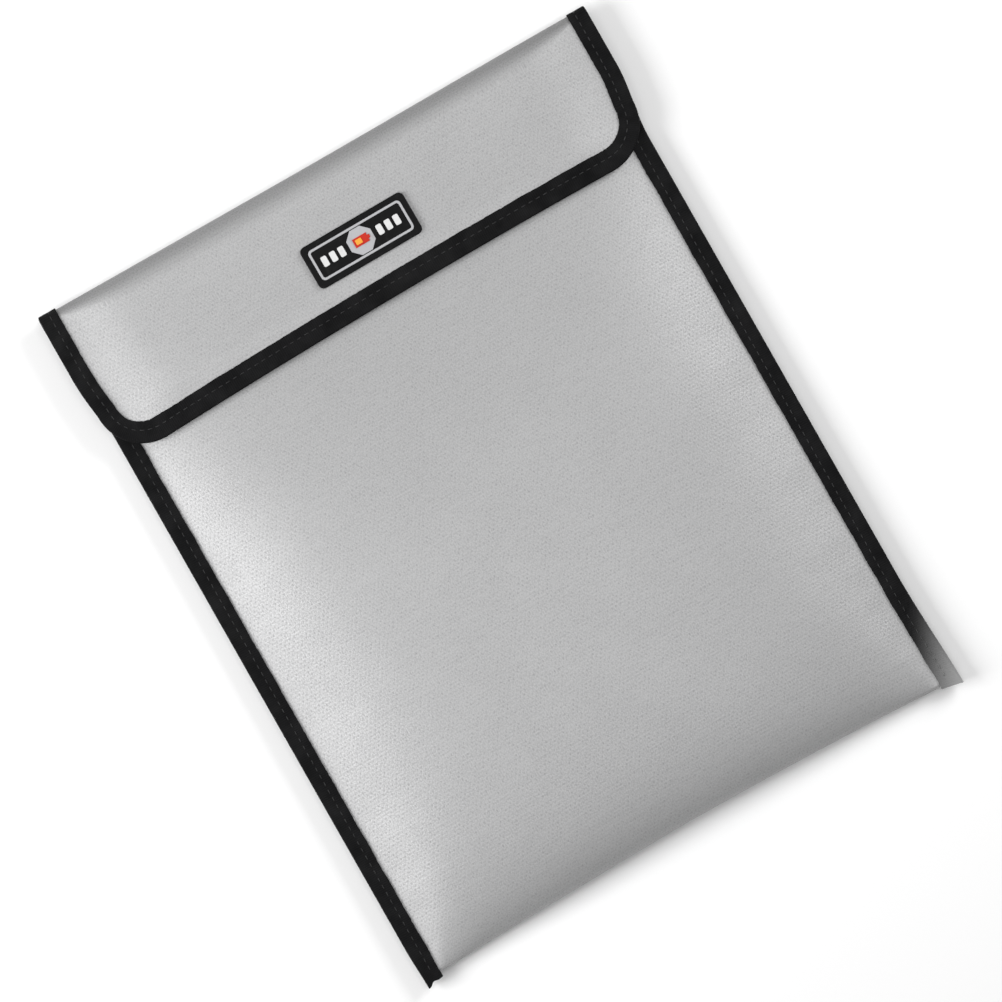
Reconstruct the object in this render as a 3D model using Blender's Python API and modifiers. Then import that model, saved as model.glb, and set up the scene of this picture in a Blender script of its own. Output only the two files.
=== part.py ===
"""Envelope-style fire-resistant bag for lithium batteries, lying on its back with the flap closed.

The bag is one strip of coated glass cloth over a lining. It folds up at the bottom, is bound down both
sides with folded tape, and runs on over the top as a flap that closes with hook-and-loop strips.
X runs across the bag, Y from the bottom fold to the top fold, and Z up out of the front. The origin is
under the middle of the bag, on the surface that it lies on. Everything is in metres.

The flap opens about two parallel axes, one at each side of the top fold, which turn by equal angles:
empties named axis_top_fold and axis_flap stand on them and carry the pieces that move.
"""

import math

import bmesh
import bpy
from mathutils import Vector

# Overall shape
BAG_WIDTH = 0.241  # across the top fold, over the binding
SIDE_FLARE = 0.006  # the filled-out pocket is this much narrower
BAG_LENGTH = 0.2955  # from the cut ends of the binding to the top fold
BELLY_HEIGHT = 0.024  # highest point of the pocket above the surface
BELLY_Y = -0.018  # where the pocket is highest
SEAM_LIFT = 0.003  # the side seams stand this far clear of the surface
FLARE_START = 0.070  # the sides widen from here to the top fold
CROWN_POWER = 3.2  # how flat the front is between its rounded sides

# Materials that the bag is cut from
OUTER_THICKNESS = 0.0005
LINING_THICKNESS = 0.0004
TAPE_THICKNESS = 0.0005
TAPE_COVER = 0.0086  # how far the folded tape reaches in from the edge
THREAD_RADIUS = 0.0002
GAP = 0.0003  # between pieces that lie on each other

# Bottom fold
BOTTOM_BOW = 0.0033  # the middle of the bottom fold draws in by this much
BOTTOM_APEX_HEIGHT = 0.0085
BOTTOM_REACH = 0.012  # how far the fold takes to reach the surface underneath
BELLY_REACH = 0.125  # how far the front takes to reach its full height
TAPE_END_SLANT = 0.0019  # the tape's cut end slants out to its corner
TAPE_TAIL = 0.0022  # the tape runs past the bottom fold by this much

# Top fold
TOP_HEIGHT = 0.016
TOP_REACH = 0.010
SPLIT_GAP_DEG = 9.0  # of the fold's turn, left open where the bodies part
LIFT_RUN = 0.028  # the back rises to the seams over this width

# Mouth and flap
MOUTH_TAPE_INSET = 0.0075  # from the side seams, where the bag is too thin for more tape
FLAP_DEPTH = 0.0605
FLAP_CORNER = 0.0195
RISE_AT_EDGE = 0.0027  # of the flap's lining over the pocket, round its edge
RISE_AT_STRIPS = 0.0044  # the same, over the fastening strips
SIDE_EASE = 0.024  # width over which the flap comes down to its sides
EDGE_EASE = 0.014  # and to its front edge

# Fastening strips
STRIP_LENGTH = 0.166
STRIP_WIDTH = 0.020
STRIP_THICKNESS = 0.0010
STRIP_CLEAR = 0.0005  # between the strips and where the flap comes down
LOOP_STITCH_INSET = 0.0016
HOOK_STITCH_INSET = 0.0024
STITCH_INSET = 0.0026  # of the binding's seam from the tape's inner edge

# Label
LABEL_WIDTH = 0.0453
LABEL_HEIGHT = 0.0178
LABEL_THICKNESS = 0.0012
LABEL_CORNER = 0.0024
LABEL_SHIFT = 0.0020  # it is sewn on this far right of the middle
LABEL_DROP = 0.0353  # from the top fold to its middle
LABEL_LIFT = 0.0001  # more than the usual gap, because the flap curves under it
FRAME_INSET = 0.0030
FRAME_WIDTH = 0.0008
FRAME_CORNER = 0.0016
RELIEF = 0.0005  # height of the raised marks
EMBLEM_RADIUS = 0.0052
EMBLEM_SIDES = 8
CELL_LENGTH = 0.0050
CELL_WIDTH = 0.0028
CELL_TIP = 0.0007
MARK_WIDTH = 0.0024
MARK_HEIGHT = 0.0042
MARK_PITCH = 0.0037
MARKS_A_SIDE = 3
MARK_START = 0.0084  # from the label's middle to the nearest mark

# Worked out from the values above
TAPE_OUT = GAP + TAPE_THICKNESS
THREAD_OUT = TAPE_OUT + GAP + 2 * THREAD_RADIUS
TOP_Y = (BAG_LENGTH - THREAD_OUT) / 2
BOTTOM_Y = TOP_Y - BAG_LENGTH
LINING_DEPTH = OUTER_THICKNESS + GAP
SHEET_PAIR = LINING_DEPTH + LINING_THICKNESS
SEAM_STACK = 2 * SHEET_PAIR + GAP
SEAM_BACK = SEAM_LIFT + TAPE_OUT
SEAM_FRONT = SEAM_BACK + SEAM_STACK
TOP_TANGENT_Y = TOP_Y - TOP_REACH
TOP_FRONT_HEIGHT = TOP_HEIGHT - SHEET_PAIR - RISE_AT_STRIPS
FLAP_EDGE_Y = TOP_Y - FLAP_DEPTH + TAPE_OUT
STRIP_LOW_Y = FLAP_EDGE_Y + EDGE_EASE + STRIP_CLEAR
MOUTH_Y = STRIP_LOW_Y + STRIP_WIDTH + 2 * GAP + TAPE_COVER - TAPE_OUT
STRIP_MIDDLE_Y = STRIP_LOW_Y + STRIP_WIDTH / 2
LABEL_Y = TOP_Y - LABEL_DROP
QUARTER_TURN = math.pi / 2 * math.sqrt((TOP_REACH**2 + (TOP_HEIGHT / 2) ** 2) / 2)
AXIS_INSET = (TOP_REACH - (QUARTER_TURN - TOP_HEIGHT / 2)) / 2
AXIS_Y = TOP_Y - AXIS_INSET
LOW_AXIS = Vector((0, AXIS_Y, AXIS_INSET))
HIGH_AXIS = Vector((0, AXIS_Y, TOP_HEIGHT - AXIS_INSET))


def smooth_step(value, low, high):
    """0 below low, 1 above high, and an even curve between them."""
    share = min(max((value - low) / (high - low), 0.0), 1.0)
    return share * share * (3 - 2 * share)


def between(low, high, share):
    return low + (high - low) * share


# The bag's outer surface


def half_width(y):
    """From the middle to the outside of the side binding."""
    return between(BAG_WIDTH - SIDE_FLARE, BAG_WIDTH, smooth_step(y, FLARE_START, TOP_Y)) / 2


def sheet_edge(y):
    """From the middle to the cut edge of the cloth, inside the fold of the tape."""
    return half_width(y) - TAPE_OUT


def seam_inner(y):
    """From the middle to where the cloth leaves the flat of the side seam."""
    return half_width(y) - TAPE_COVER - GAP


def crown(x, y):
    """1 in the middle of the bag and 0 at its side seams."""
    return 1 - min(abs(x) / seam_inner(y), 1.0) ** CROWN_POWER


def back_height(x, y):
    """Underside of the back: flat on the surface, and lifted to the seams at its sides."""
    inner = seam_inner(y)
    return SEAM_BACK * smooth_step(abs(x), inner - LIFT_RUN, inner)


def front_height(x, y):
    """Outside of the pocket's front, away from the bottom fold."""
    share = min(max((y - BELLY_Y) / (TOP_TANGENT_Y - BELLY_Y), 0.0), 1.0)
    fall = (1 + math.cos(math.pi * share)) / 2
    middle = between(TOP_FRONT_HEIGHT, BELLY_HEIGHT, fall)
    return between(SEAM_FRONT, middle, crown(x, y))


def bottom_apex(x):
    """Outermost point of the bottom fold."""
    across = min(abs(x) / half_width(BOTTOM_Y), 1.0)
    y = BOTTOM_Y + TAPE_TAIL + BOTTOM_BOW * (1 - across**2)
    half = between(SEAM_STACK / 2, BOTTOM_APEX_HEIGHT, crown(x, BOTTOM_Y))
    return Vector((x, y, back_height(x, BOTTOM_Y) + half))


def bottom_reach(x):
    return between(SEAM_STACK / 2, BOTTOM_REACH, crown(x, BOTTOM_Y))


def front_point(share, run):
    """On the front's outer surface. A negative run, down to -1, is under the fold; then it is in metres."""
    x = share * sheet_edge(BOTTOM_Y)
    apex = bottom_apex(x)
    if run < 0:
        turn = -run * math.pi / 2
        low = back_height(x, BOTTOM_Y)
        y = apex.y + bottom_reach(x) * (1 - math.cos(turn))
        return Vector((x, y, between(apex.z, low, math.sin(turn))))
    last = BOTTOM_Y + TAPE_TAIL + FRONT_RUNS[-1]
    y = between(apex.y, MOUTH_Y, run / (last - BOTTOM_Y - TAPE_TAIL))
    x = share * sheet_edge(y)
    round_x = share * sheet_edge(BOTTOM_Y)
    reach = between(SEAM_STACK / 2, BELLY_REACH, crown(round_x, BOTTOM_Y))
    power = between(2, 4, crown(round_x, BOTTOM_Y))
    rise = math.sqrt(1 - max(1 - (y - apex.y) / reach, 0.0) ** power)
    return Vector((x, y, between(apex.z, front_height(x, y), rise)))


def flap_height(x, y):
    """Outside of the closed flap."""
    inner = seam_inner(y)
    over_strips = 1 - smooth_step(abs(x), inner - SIDE_EASE, inner)
    over_strips *= smooth_step(y, FLAP_EDGE_Y, FLAP_EDGE_Y + EDGE_EASE)
    rise = between(RISE_AT_EDGE, RISE_AT_STRIPS, over_strips)
    return front_height(x, y) + rise + SHEET_PAIR


def top_fold(x):
    """Tangent line, reach and the two heights that the top fold joins."""
    low = back_height(x, TOP_Y)
    high = flap_height(x, TOP_TANGENT_Y)
    reach = between((high - low) / 2, TOP_REACH, crown(x, TOP_Y))
    return TOP_Y - reach, reach, low, high


def fold_point(x, degrees):
    """On the outside of the top fold: 0 at the back and 180 at the flap."""
    tangent, reach, low, high = top_fold(x)
    turn = math.radians(degrees)
    z = between(low, high, (1 - math.cos(turn)) / 2)
    return Vector((x, tangent + reach * math.sin(turn), z))


def flap_low_y(x):
    """Cut edge of the flap's cloth, with its rounded corners."""
    straight = sheet_edge(FLAP_EDGE_Y + FLAP_CORNER) - FLAP_CORNER
    past = min(max(abs(x) - straight, 0.0), FLAP_CORNER)
    return FLAP_EDGE_Y + FLAP_CORNER - math.sqrt(FLAP_CORNER**2 - past**2)


# Blender tools


def clear_scene():
    for obj in list(bpy.data.objects):
        bpy.data.objects.remove(obj)


def make_collection(name):
    collection = bpy.data.collections.new(name)
    bpy.context.scene.collection.children.link(collection)
    return collection


def make_material(name, colour, roughness, metallic=0.0):
    material = bpy.data.materials.new(name)
    material.use_nodes = True
    shader = material.node_tree.nodes["Principled BSDF"]
    shader.inputs["Base Color"].default_value = (*colour, 1)
    shader.inputs["Roughness"].default_value = roughness
    shader.inputs["Metallic"].default_value = metallic
    return material


def make_axis(name, place, parent=None):
    """An empty on a joint's axis, which carries the pieces that turn about it."""
    empty = bpy.data.objects.new(name, None)
    empty.empty_display_size = TOP_HEIGHT
    BAG.objects.link(empty)
    empty.parent = parent
    empty.location = place - (parent.matrix_world.translation if parent else Vector())
    bpy.context.view_layer.update()
    return empty


def hang(obj, carrier):
    """Puts an object in the bag and lets it move with its carrier."""
    BAG.objects.link(obj)
    if carrier:
        obj.parent = carrier
        obj.matrix_parent_inverse = carrier.matrix_world.inverted()
    return obj


def make_sheet(name, columns, rows, place, thickness, material, carrier=None, depth=0.0):
    """A cloth sheet: a grid bent to a surface, set in from it by depth, and thickened inwards."""
    mesh = bpy.data.meshes.new(name)
    grid = bmesh.new()
    across, along = len(columns) - 1, len(rows) - 1
    bmesh.ops.create_grid(grid, x_segments=across, y_segments=along, size=1)
    for corner in grid.verts:
        column = round((corner.co.x + 1) / 2 * across)
        row = round((corner.co.y + 1) / 2 * along)
        corner.co = place(columns[column], rows[row])
    grid.normal_update()
    normals = {corner: corner.normal.copy() for corner in grid.verts}
    for corner, normal in normals.items():
        corner.co -= normal * depth
    grid.to_mesh(mesh)
    grid.free()
    mesh.shade_smooth()
    mesh.materials.append(material)
    sheet = hang(bpy.data.objects.new(name, mesh), carrier)
    solidify = sheet.modifiers.new("thickness", "SOLIDIFY")
    solidify.thickness = thickness
    solidify.offset = -1
    return sheet


def make_thread(name, points, material, carrier=None, cyclic=False):
    """One run of sewing thread, laid along its seam."""
    curve = bpy.data.curves.new(name, "CURVE")
    curve.dimensions = "3D"
    curve.bevel_depth = THREAD_RADIUS
    curve.bevel_resolution = 1
    curve.use_fill_caps = not cyclic
    spline = curve.splines.new("POLY")
    spline.points.add(len(points) - 1)
    for target, point in zip(spline.points, points):
        target.co = (*point, 1)
    spline.use_cyclic_u = cyclic
    curve.materials.append(material)
    return hang(bpy.data.objects.new(name, curve), carrier)


def add_outline(curve, points):
    """One closed straight-sided outline in a flat curve."""
    spline = curve.splines.new("POLY")
    spline.points.add(len(points) - 1)
    for target, (x, y) in zip(spline.points, points):
        target.co = (x, y, 0, 1)
    spline.use_cyclic_u = True


def make_plate(name, outlines, base, thickness, material, centre=(0.0, 0.0)):
    """A flat moulded plate that stands on the label, base above the flap's surface there."""
    curve = bpy.data.curves.new(name, "CURVE")
    curve.dimensions = "2D"
    curve.fill_mode = "BOTH"
    curve.extrude = thickness / 2
    for outline in outlines:
        add_outline(curve, [(x + centre[0], y + centre[1]) for x, y in outline])
    curve.materials.append(material)
    plate = bpy.data.objects.new(name, curve)
    low = flap_height(LABEL_SHIFT, LABEL_Y - LABEL_HEIGHT / 2)
    high = flap_height(LABEL_SHIFT, LABEL_Y + LABEL_HEIGHT / 2)
    tilt = math.atan2(high - low, LABEL_HEIGHT)
    plate.rotation_euler.x = tilt
    up = Vector((0, -math.sin(tilt), math.cos(tilt)))
    foot = Vector((LABEL_SHIFT, LABEL_Y, flap_height(LABEL_SHIFT, LABEL_Y)))
    plate.location = foot + up * (base + thickness / 2)
    return hang(plate, FLAP_AXIS)


# Rows and columns of the cloth grids

FOLD_STEPS = 5
ARC_STEPS = 4
LEAF_STEPS = 3
BACK_STEPS = 18
FRONT_RUNS = [0.0, 0.00015, 0.0005, 0.0015, 0.004, 0.008, 0.014, 0.022, 0.033, 0.048]
FRONT_RUNS += [0.066, 0.088, 0.112, 0.136, 0.160, 0.182, 0.202, 0.220, 0.238, 0.255, 0.270]
INNER_STEPS = [0.004, 0.009, 0.015, 0.022, 0.030, 0.042, 0.060, 0.085]


def even_steps(low, high, count):
    return [between(low, high, step / count) for step in range(count + 1)]


def mirrored(values):
    """The same distances on both sides of the middle, with the middle between them."""
    return sorted({-value for value in values} | {0.0} | set(values))


def cloth_columns():
    """Shares of the way out to the cloth's edge: close together where the bag curves to its seams."""
    edge, inner = sheet_edge(BOTTOM_Y), seam_inner(BOTTOM_Y)
    places = [edge, inner] + [inner - step for step in INNER_STEPS]
    return mirrored([place / edge for place in places])


def fold_rows(low, high):
    """Degrees round the top fold, with half the split's gap left at each end that meets another body."""
    if low > 0:
        low += SPLIT_GAP_DEG / 2
    if high < 180:
        high -= SPLIT_GAP_DEG / 2
    return even_steps(low, high, FOLD_STEPS)


def share_point(share, degrees):
    return fold_point(share * sheet_edge(TOP_Y), degrees)


# The pocket


def back_point(share, row):
    """On the back's underside. A row is a share of the flat, or degrees round the fold written as 1 + turn."""
    if row > 1:
        return share_point(share, row - 1)
    low = front_point(share, -1)
    high = share_point(share, 0)
    y = between(low.y + GAP, high.y, row)
    x = share * sheet_edge(y)
    return Vector((x, y, back_height(x, y)))


def reversed_rows(place):
    """Turns a surface's face over by reading its columns from the other side."""
    return lambda share, row: place(-share, row)


def make_pocket_cloth():
    columns = cloth_columns()
    front_rows = [-1.0, -2 / 3, -1 / 3] + FRONT_RUNS
    back_rows = even_steps(0, 1, BACK_STEPS)[:-1] + [1 + turn for turn in fold_rows(0, 45)]
    sheets = (
        ("front_panel", front_rows, front_point),
        ("back_panel", back_rows, reversed_rows(back_point)),
    )
    for name, rows, place in sheets:
        make_sheet(name, columns, rows, place, OUTER_THICKNESS, GLASS_CLOTH)
        lining = name.replace("panel", "lining")
        make_sheet(lining, columns, rows, place, LINING_THICKNESS, LINING_CLOTH, depth=LINING_DEPTH)


# The binding tape: a frame is a point on the cloth's outer edge, the way out of the cloth's outer side,
# the way in from the edge, and the thickness of cloth that the tape holds there.


def tape_point(frame, along_profile):
    """Round the tape's outside: -1 at the inner edge of its outer leaf, 1 at that of its inner leaf."""
    edge, out, inwards, stack = frame
    if abs(along_profile) > 0.5:
        reach = (abs(along_profile) - 0.5) * 2 * (TAPE_COVER - TAPE_OUT)
        offset = TAPE_OUT if along_profile < 0 else -stack - TAPE_OUT
        return edge + inwards * reach + out * offset
    turn = math.pi * (along_profile + 0.5)
    half = stack / 2 + TAPE_OUT
    middle = edge - out * (stack / 2)
    return middle + out * (half * math.cos(turn)) - inwards * (TAPE_OUT * math.sin(turn))


def profile_rows():
    leaf = even_steps(0.5, 1, LEAF_STEPS)
    arc = even_steps(-0.5, 0.5, ARC_STEPS)
    return [-value for value in reversed(leaf[1:])] + arc + leaf[1:]


def seam_frame(side, y):
    """Along the pocket's side seam, where the tape's outer leaf is underneath."""
    stack = SEAM_STACK if y <= MOUTH_Y + GAP else SHEET_PAIR
    edge = Vector((side * sheet_edge(y), y, SEAM_BACK))
    return edge, Vector((0, 0, -1)), Vector((-side, 0, 0)), stack


def fold_frame(side, degrees):
    """Round the top fold, where the tape's outer leaf is outside."""
    x = side * sheet_edge(TOP_Y)
    step = 0.5
    ahead = fold_point(x, degrees + step) - fold_point(x, degrees - step)
    out = Vector((0, ahead.z, -ahead.y)).normalized()
    return fold_point(x, degrees), out, Vector((-side, 0, 0)), SHEET_PAIR


def side_frames(side):
    """Frames of the tape from its cut end at the bottom to the top fold."""
    lower = even_steps(BOTTOM_Y, FLARE_START, 8)
    upper = even_steps(FLARE_START, MOUTH_Y, 8)[1:]
    tangent = fold_point(side * sheet_edge(TOP_Y), 0).y
    past_mouth = [MOUTH_Y + GAP, MOUTH_Y + 5 * GAP, between(MOUTH_Y, tangent, 0.6)]
    frames = [seam_frame(side, y) for y in lower + upper + past_mouth]
    return frames + [fold_frame(side, turn) for turn in fold_rows(0, 45)]


def slanted_end(point, side):
    """The tape's cut end slants up from its outer corner to its inner edge."""
    run_in = 1 - smooth_step(point.y, BOTTOM_Y, BOTTOM_Y + 2 * TAPE_COVER)
    share = (half_width(BOTTOM_Y) - side * point.x) / TAPE_COVER
    return point + Vector((0, TAPE_END_SLANT * share * run_in, 0))


def make_tape(name, frames, side, carrier=None, end=None):
    """A run of folded tape. side turns its face outwards, and end shapes its cut end."""

    def place(station, along_profile):
        point = tape_point(frames[int(station)], side * along_profile)
        return end(point) if end else point

    columns = list(range(len(frames)))
    return make_sheet(name, columns, profile_rows(), place, TAPE_THICKNESS, TAPE, carrier)


def stitch_points(frames, inner_leaf):
    """Along the tape's seam, on its outer or its inner leaf."""
    reach = TAPE_COVER - TAPE_OUT - STITCH_INSET
    clear = THREAD_OUT - THREAD_RADIUS
    points = []
    for edge, out, inwards, stack in frames:
        offset = -stack - clear if inner_leaf else clear
        points.append(edge + inwards * reach + out * offset)
    return points


def make_side_binding():
    for word, side in SIDES:
        frames = side_frames(side)
        make_tape(f"side_binding_{word}", frames, side, end=lambda p, s=side: slanted_end(p, s))
        sewn = [frame for frame in frames if frame[3] == SEAM_STACK]
        sewn[0] = seam_frame(side, BOTTOM_Y + 2 * TAPE_TAIL)
        make_thread(f"side_thread_{word}", stitch_points(sewn, True), THREAD)
        make_thread(f"side_bobbin_thread_{word}", stitch_points(sewn, False), THREAD)


def mouth_frames():
    """Along the mouth's edge, seen from its outer side, which is up."""
    reach = seam_inner(MOUTH_Y) - MOUTH_TAPE_INSET
    places = [share * reach for share in even_steps(-1, 1, 20)]
    up, inwards = Vector((0, 0, 1)), Vector((0, -1, 0))
    edge = [Vector((x, MOUTH_Y, front_height(x, MOUTH_Y))) for x in places]
    return [(point, up, inwards, SHEET_PAIR) for point in edge]


def follow_front(point):
    """Keeps a point of the mouth's tape at its own height over the sloping front."""
    y = min(point.y, MOUTH_Y)
    x = point.x
    return point + Vector((0, 0, front_height(x, y) - front_height(x, MOUTH_Y)))


def make_mouth_binding():
    frames = mouth_frames()
    make_tape("mouth_binding", frames, 1, end=follow_front)
    run = [follow_front(point) for point in stitch_points(frames, False)]
    make_thread("mouth_thread", run[1:-1], THREAD)


# The fastening strips


def strip_run(inset, height, count=14):
    """A closed seam round a strip, at a height that is a function of x and y."""
    across = STRIP_LENGTH / 2 - inset
    low, high = STRIP_LOW_Y + inset, STRIP_LOW_Y + STRIP_WIDTH - inset
    places = even_steps(-across, across, count)
    outline = [(x, low) for x in places] + [(x, high) for x in reversed(places)]
    return [Vector((x, y, height(x, y))) for x, y in outline]


def make_strip(name, height, material, carrier=None):
    columns = even_steps(-STRIP_LENGTH / 2, STRIP_LENGTH / 2, 14)
    rows = even_steps(STRIP_LOW_Y, STRIP_LOW_Y + STRIP_WIDTH, 3)
    return make_sheet(
        name, columns, rows, lambda x, y: Vector((x, y, height(x, y))), STRIP_THICKNESS, material, carrier
    )


def loop_face(x, y):
    return front_height(x, y) + GAP + STRIP_THICKNESS


def hook_back(x, y):
    return flap_height(x, y) - SHEET_PAIR - GAP


def make_fastening():
    seam = GAP + THREAD_RADIUS
    make_strip("loop_strip", loop_face, FASTENER)
    loop_run = strip_run(LOOP_STITCH_INSET, lambda x, y: loop_face(x, y) + seam)
    make_thread("loop_strip_thread", loop_run, THREAD, cyclic=True)
    make_strip("hook_strip", hook_back, FASTENER, FLAP_AXIS)
    hook_run = strip_run(HOOK_STITCH_INSET, lambda x, y: hook_back(x, y) - STRIP_THICKNESS - seam)
    make_thread("hook_strip_thread", hook_run, THREAD, FLAP_AXIS, cyclic=True)


# The top fold


def make_top_fold():
    columns = cloth_columns()
    rows = fold_rows(45, 135)
    place = reversed_rows(share_point)
    make_sheet("fold_panel", columns, rows, place, OUTER_THICKNESS, GLASS_CLOTH, FOLD_AXIS)
    make_sheet("fold_lining", columns, rows, place, LINING_THICKNESS, LINING_CLOTH, FOLD_AXIS, LINING_DEPTH)
    for word, side in SIDES:
        frames = [fold_frame(side, turn) for turn in rows]
        make_tape(f"fold_binding_{word}", frames, side, FOLD_AXIS)
        make_thread(f"fold_thread_{word}", stitch_points(frames, False), THREAD, FOLD_AXIS)


# The flap


def flap_columns():
    """Shares of the way out to the flap's edge, with the corner's arc cut into equal turns."""
    edge = sheet_edge(FLAP_EDGE_Y + FLAP_CORNER)
    straight = edge - FLAP_CORNER
    corner = [straight + FLAP_CORNER * math.sin(math.radians(turn)) for turn in range(0, 91, 15)]
    middle = [straight * share for share in (0.2, 0.4, 0.6, 0.8, 0.9)]
    return mirrored([place / edge for place in corner + middle])


def flap_point(share, row):
    """On the flap's outside: a row from 0 to 1 runs from its cut edge to the fold, and on in degrees back."""
    if row > 1:
        return share_point(share, 181 - row)
    low = flap_low_y(share * sheet_edge(FLAP_EDGE_Y + FLAP_CORNER))
    high = share_point(share, 180).y
    y = between(low, high, row)
    x = share * sheet_edge(y)
    return Vector((x, y, flap_height(x, min(y, TOP_TANGENT_Y))))


def flap_edge_point(side, turn):
    """On the flap's cut edge: turn is 0 where a corner meets the side and 90 where it meets the front."""
    edge = sheet_edge(FLAP_EDGE_Y + FLAP_CORNER)
    x = edge - FLAP_CORNER * (1 - math.cos(math.radians(turn)))
    y = FLAP_EDGE_Y + FLAP_CORNER * (1 - math.sin(math.radians(turn)))
    return Vector((side * x / edge * sheet_edge(y), y, 0))


def flap_outline():
    """The flap's cut edge from its left side at the top fold, round the front, to its right side."""
    top = fold_point(sheet_edge(TOP_Y), 180).y
    sides = even_steps(top, FLAP_EDGE_Y + FLAP_CORNER, 5)[:-1]
    left = [Vector((-sheet_edge(y), y, 0)) for y in sides]
    corner = [flap_edge_point(-1, turn) for turn in range(0, 91, 15)]
    front = [point * 1 for point in corner[-1:]]
    places = even_steps(front[0].x, 0, 9)[1:-1]
    left += corner + [Vector((x, FLAP_EDGE_Y, 0)) for x in places]
    right = [Vector((-point.x, point.y, 0)) for point in reversed(left)]
    return left + [Vector((0, FLAP_EDGE_Y, 0))] + right


def flap_frames():
    """Frames of the tape round the flap, from one end of the top fold to the other."""
    left = [fold_frame(-1, turn) for turn in fold_rows(135, 180)[:-1]]
    outline = flap_outline()
    frames = []
    for index, point in enumerate(outline):
        before, after = outline[max(index - 1, 0)], outline[min(index + 1, len(outline) - 1)]
        along = (after - before).normalized()
        inwards = Vector((-along.y, along.x, 0))
        frames.append((point, Vector((0, 0, 1)), inwards, SHEET_PAIR))
    right = [fold_frame(1, turn) for turn in fold_rows(135, 180)[:-1]]
    return left + frames + right[::-1]


def follow_flap(point):
    """Lifts a point that was laid out on the level to the flap's height there."""
    if abs(point.z) > 2 * TAPE_COVER / 10 + SHEET_PAIR:
        return point
    edge = sheet_edge(point.y)
    x = min(max(point.x, -edge), edge)
    y = min(max(point.y, flap_low_y(x)), TOP_TANGENT_Y)
    return point + Vector((0, 0, flap_height(x, y)))


def make_flap():
    columns = flap_columns()
    near_edge = even_steps(0, 0.4, 7)
    rows = near_edge + even_steps(0.4, 1, 6)[1:] + [1 + turn for turn in fold_rows(0, 45)[1:]]
    make_sheet("flap_panel", columns, rows, flap_point, OUTER_THICKNESS, GLASS_CLOTH, FLAP_AXIS)
    make_sheet("flap_lining", columns, rows, flap_point, LINING_THICKNESS, LINING_CLOTH, FLAP_AXIS, LINING_DEPTH)
    frames = flap_frames()
    make_tape("flap_binding", frames, -1, FLAP_AXIS, end=follow_flap)
    run = [follow_flap(point) for point in stitch_points(frames, False)]
    make_thread("flap_thread", run, THREAD, FLAP_AXIS)


# The label


def rounded_box(width, height, radius, steps=4):
    """Outline of a box with round corners, centred on the origin."""
    points = []
    for quarter, (sx, sy) in enumerate(((1, 1), (-1, 1), (-1, -1), (1, -1))):
        for step in range(steps + 1):
            turn = math.pi / 2 * (quarter + step / steps)
            x = sx * (width / 2 - radius) + radius * math.cos(turn)
            points.append((x, sy * (height / 2 - radius) + radius * math.sin(turn)))
    return points


def polygon(radius, sides):
    turns = [2 * math.pi * (index + 0.5) / sides for index in range(sides)]
    return [(radius * math.cos(turn), radius * math.sin(turn)) for turn in turns]


def cell_outline():
    """A battery seen from its side: a body with a narrower tip at its right end."""
    end, half, tip = CELL_LENGTH / 2, CELL_WIDTH / 2, CELL_WIDTH / 5
    return [(-end, -half), (end, -half), (end, -tip), (end + CELL_TIP, -tip),
            (end + CELL_TIP, tip), (end, tip), (end, half), (-end, half)]


def make_label():
    base = GAP + LABEL_LIFT
    marks = base + LABEL_THICKNESS + GAP
    body = rounded_box(LABEL_WIDTH, LABEL_HEIGHT, LABEL_CORNER)
    make_plate("label_base", [body], base, LABEL_THICKNESS, BLACK_RUBBER)
    width, height = LABEL_WIDTH - 2 * FRAME_INSET, LABEL_HEIGHT - 2 * FRAME_INSET
    inner = rounded_box(width - 2 * FRAME_WIDTH, height - 2 * FRAME_WIDTH, FRAME_CORNER - FRAME_WIDTH)
    frame = [rounded_box(width, height, FRAME_CORNER), inner]
    make_plate("label_frame", frame, marks, RELIEF, GREY_RUBBER)
    make_plate("label_emblem", [polygon(EMBLEM_RADIUS, EMBLEM_SIDES)], marks, RELIEF, GREY_RUBBER)
    make_plate("label_cell", [cell_outline()], marks + RELIEF + GAP, RELIEF, RED_RUBBER)
    mark = rounded_box(MARK_WIDTH, MARK_HEIGHT, MARK_WIDTH / 4, 2)
    for word, side in SIDES:
        for index in range(MARKS_A_SIDE):
            x = side * (MARK_START + index * MARK_PITCH)
            make_plate(f"label_mark_{word}_{index + 1}", [mark], marks, RELIEF, WHITE_RUBBER, (x, 0))


clear_scene()
SIDES = (("left", -1), ("right", 1))
BAG = make_collection("lipo_safe_bag")
GLASS_CLOTH = make_material("coated_glass_cloth", (0.46, 0.46, 0.46), 0.55)
LINING_CLOTH = make_material("lining_cloth", (0.62, 0.61, 0.58), 0.8)
TAPE = make_material("binding_tape", (0.016, 0.016, 0.016), 0.75)
THREAD = make_material("sewing_thread", (0.03, 0.03, 0.03), 0.6)
FASTENER = make_material("hook_and_loop", (0.02, 0.02, 0.02), 0.85)
BLACK_RUBBER = make_material("black_rubber", (0.02, 0.02, 0.02), 0.5)
GREY_RUBBER = make_material("grey_rubber", (0.55, 0.55, 0.56), 0.5)
WHITE_RUBBER = make_material("white_rubber", (0.85, 0.85, 0.85), 0.5)
RED_RUBBER = make_material("red_rubber", (0.55, 0.05, 0.03), 0.5)
FOLD_AXIS = make_axis("axis_top_fold", LOW_AXIS)
FLAP_AXIS = make_axis("axis_flap", HIGH_AXIS, FOLD_AXIS)

make_pocket_cloth()
make_side_binding()
make_mouth_binding()
make_fastening()
make_top_fold()
make_flap()
make_label()
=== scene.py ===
"""Looks of an envelope-style fire-resistant bag for lithium batteries.

The bag lies on its back: X runs across it, Y from the bottom fold to the top fold and Z up out of
its front. Coated glass cloth over a lining makes the pocket and the flap, folded black tape binds
their edges with a row of stitches, hook-and-loop strips close the flap, and a moulded rubber label
sits on it.
"""

from __future__ import annotations

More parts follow.
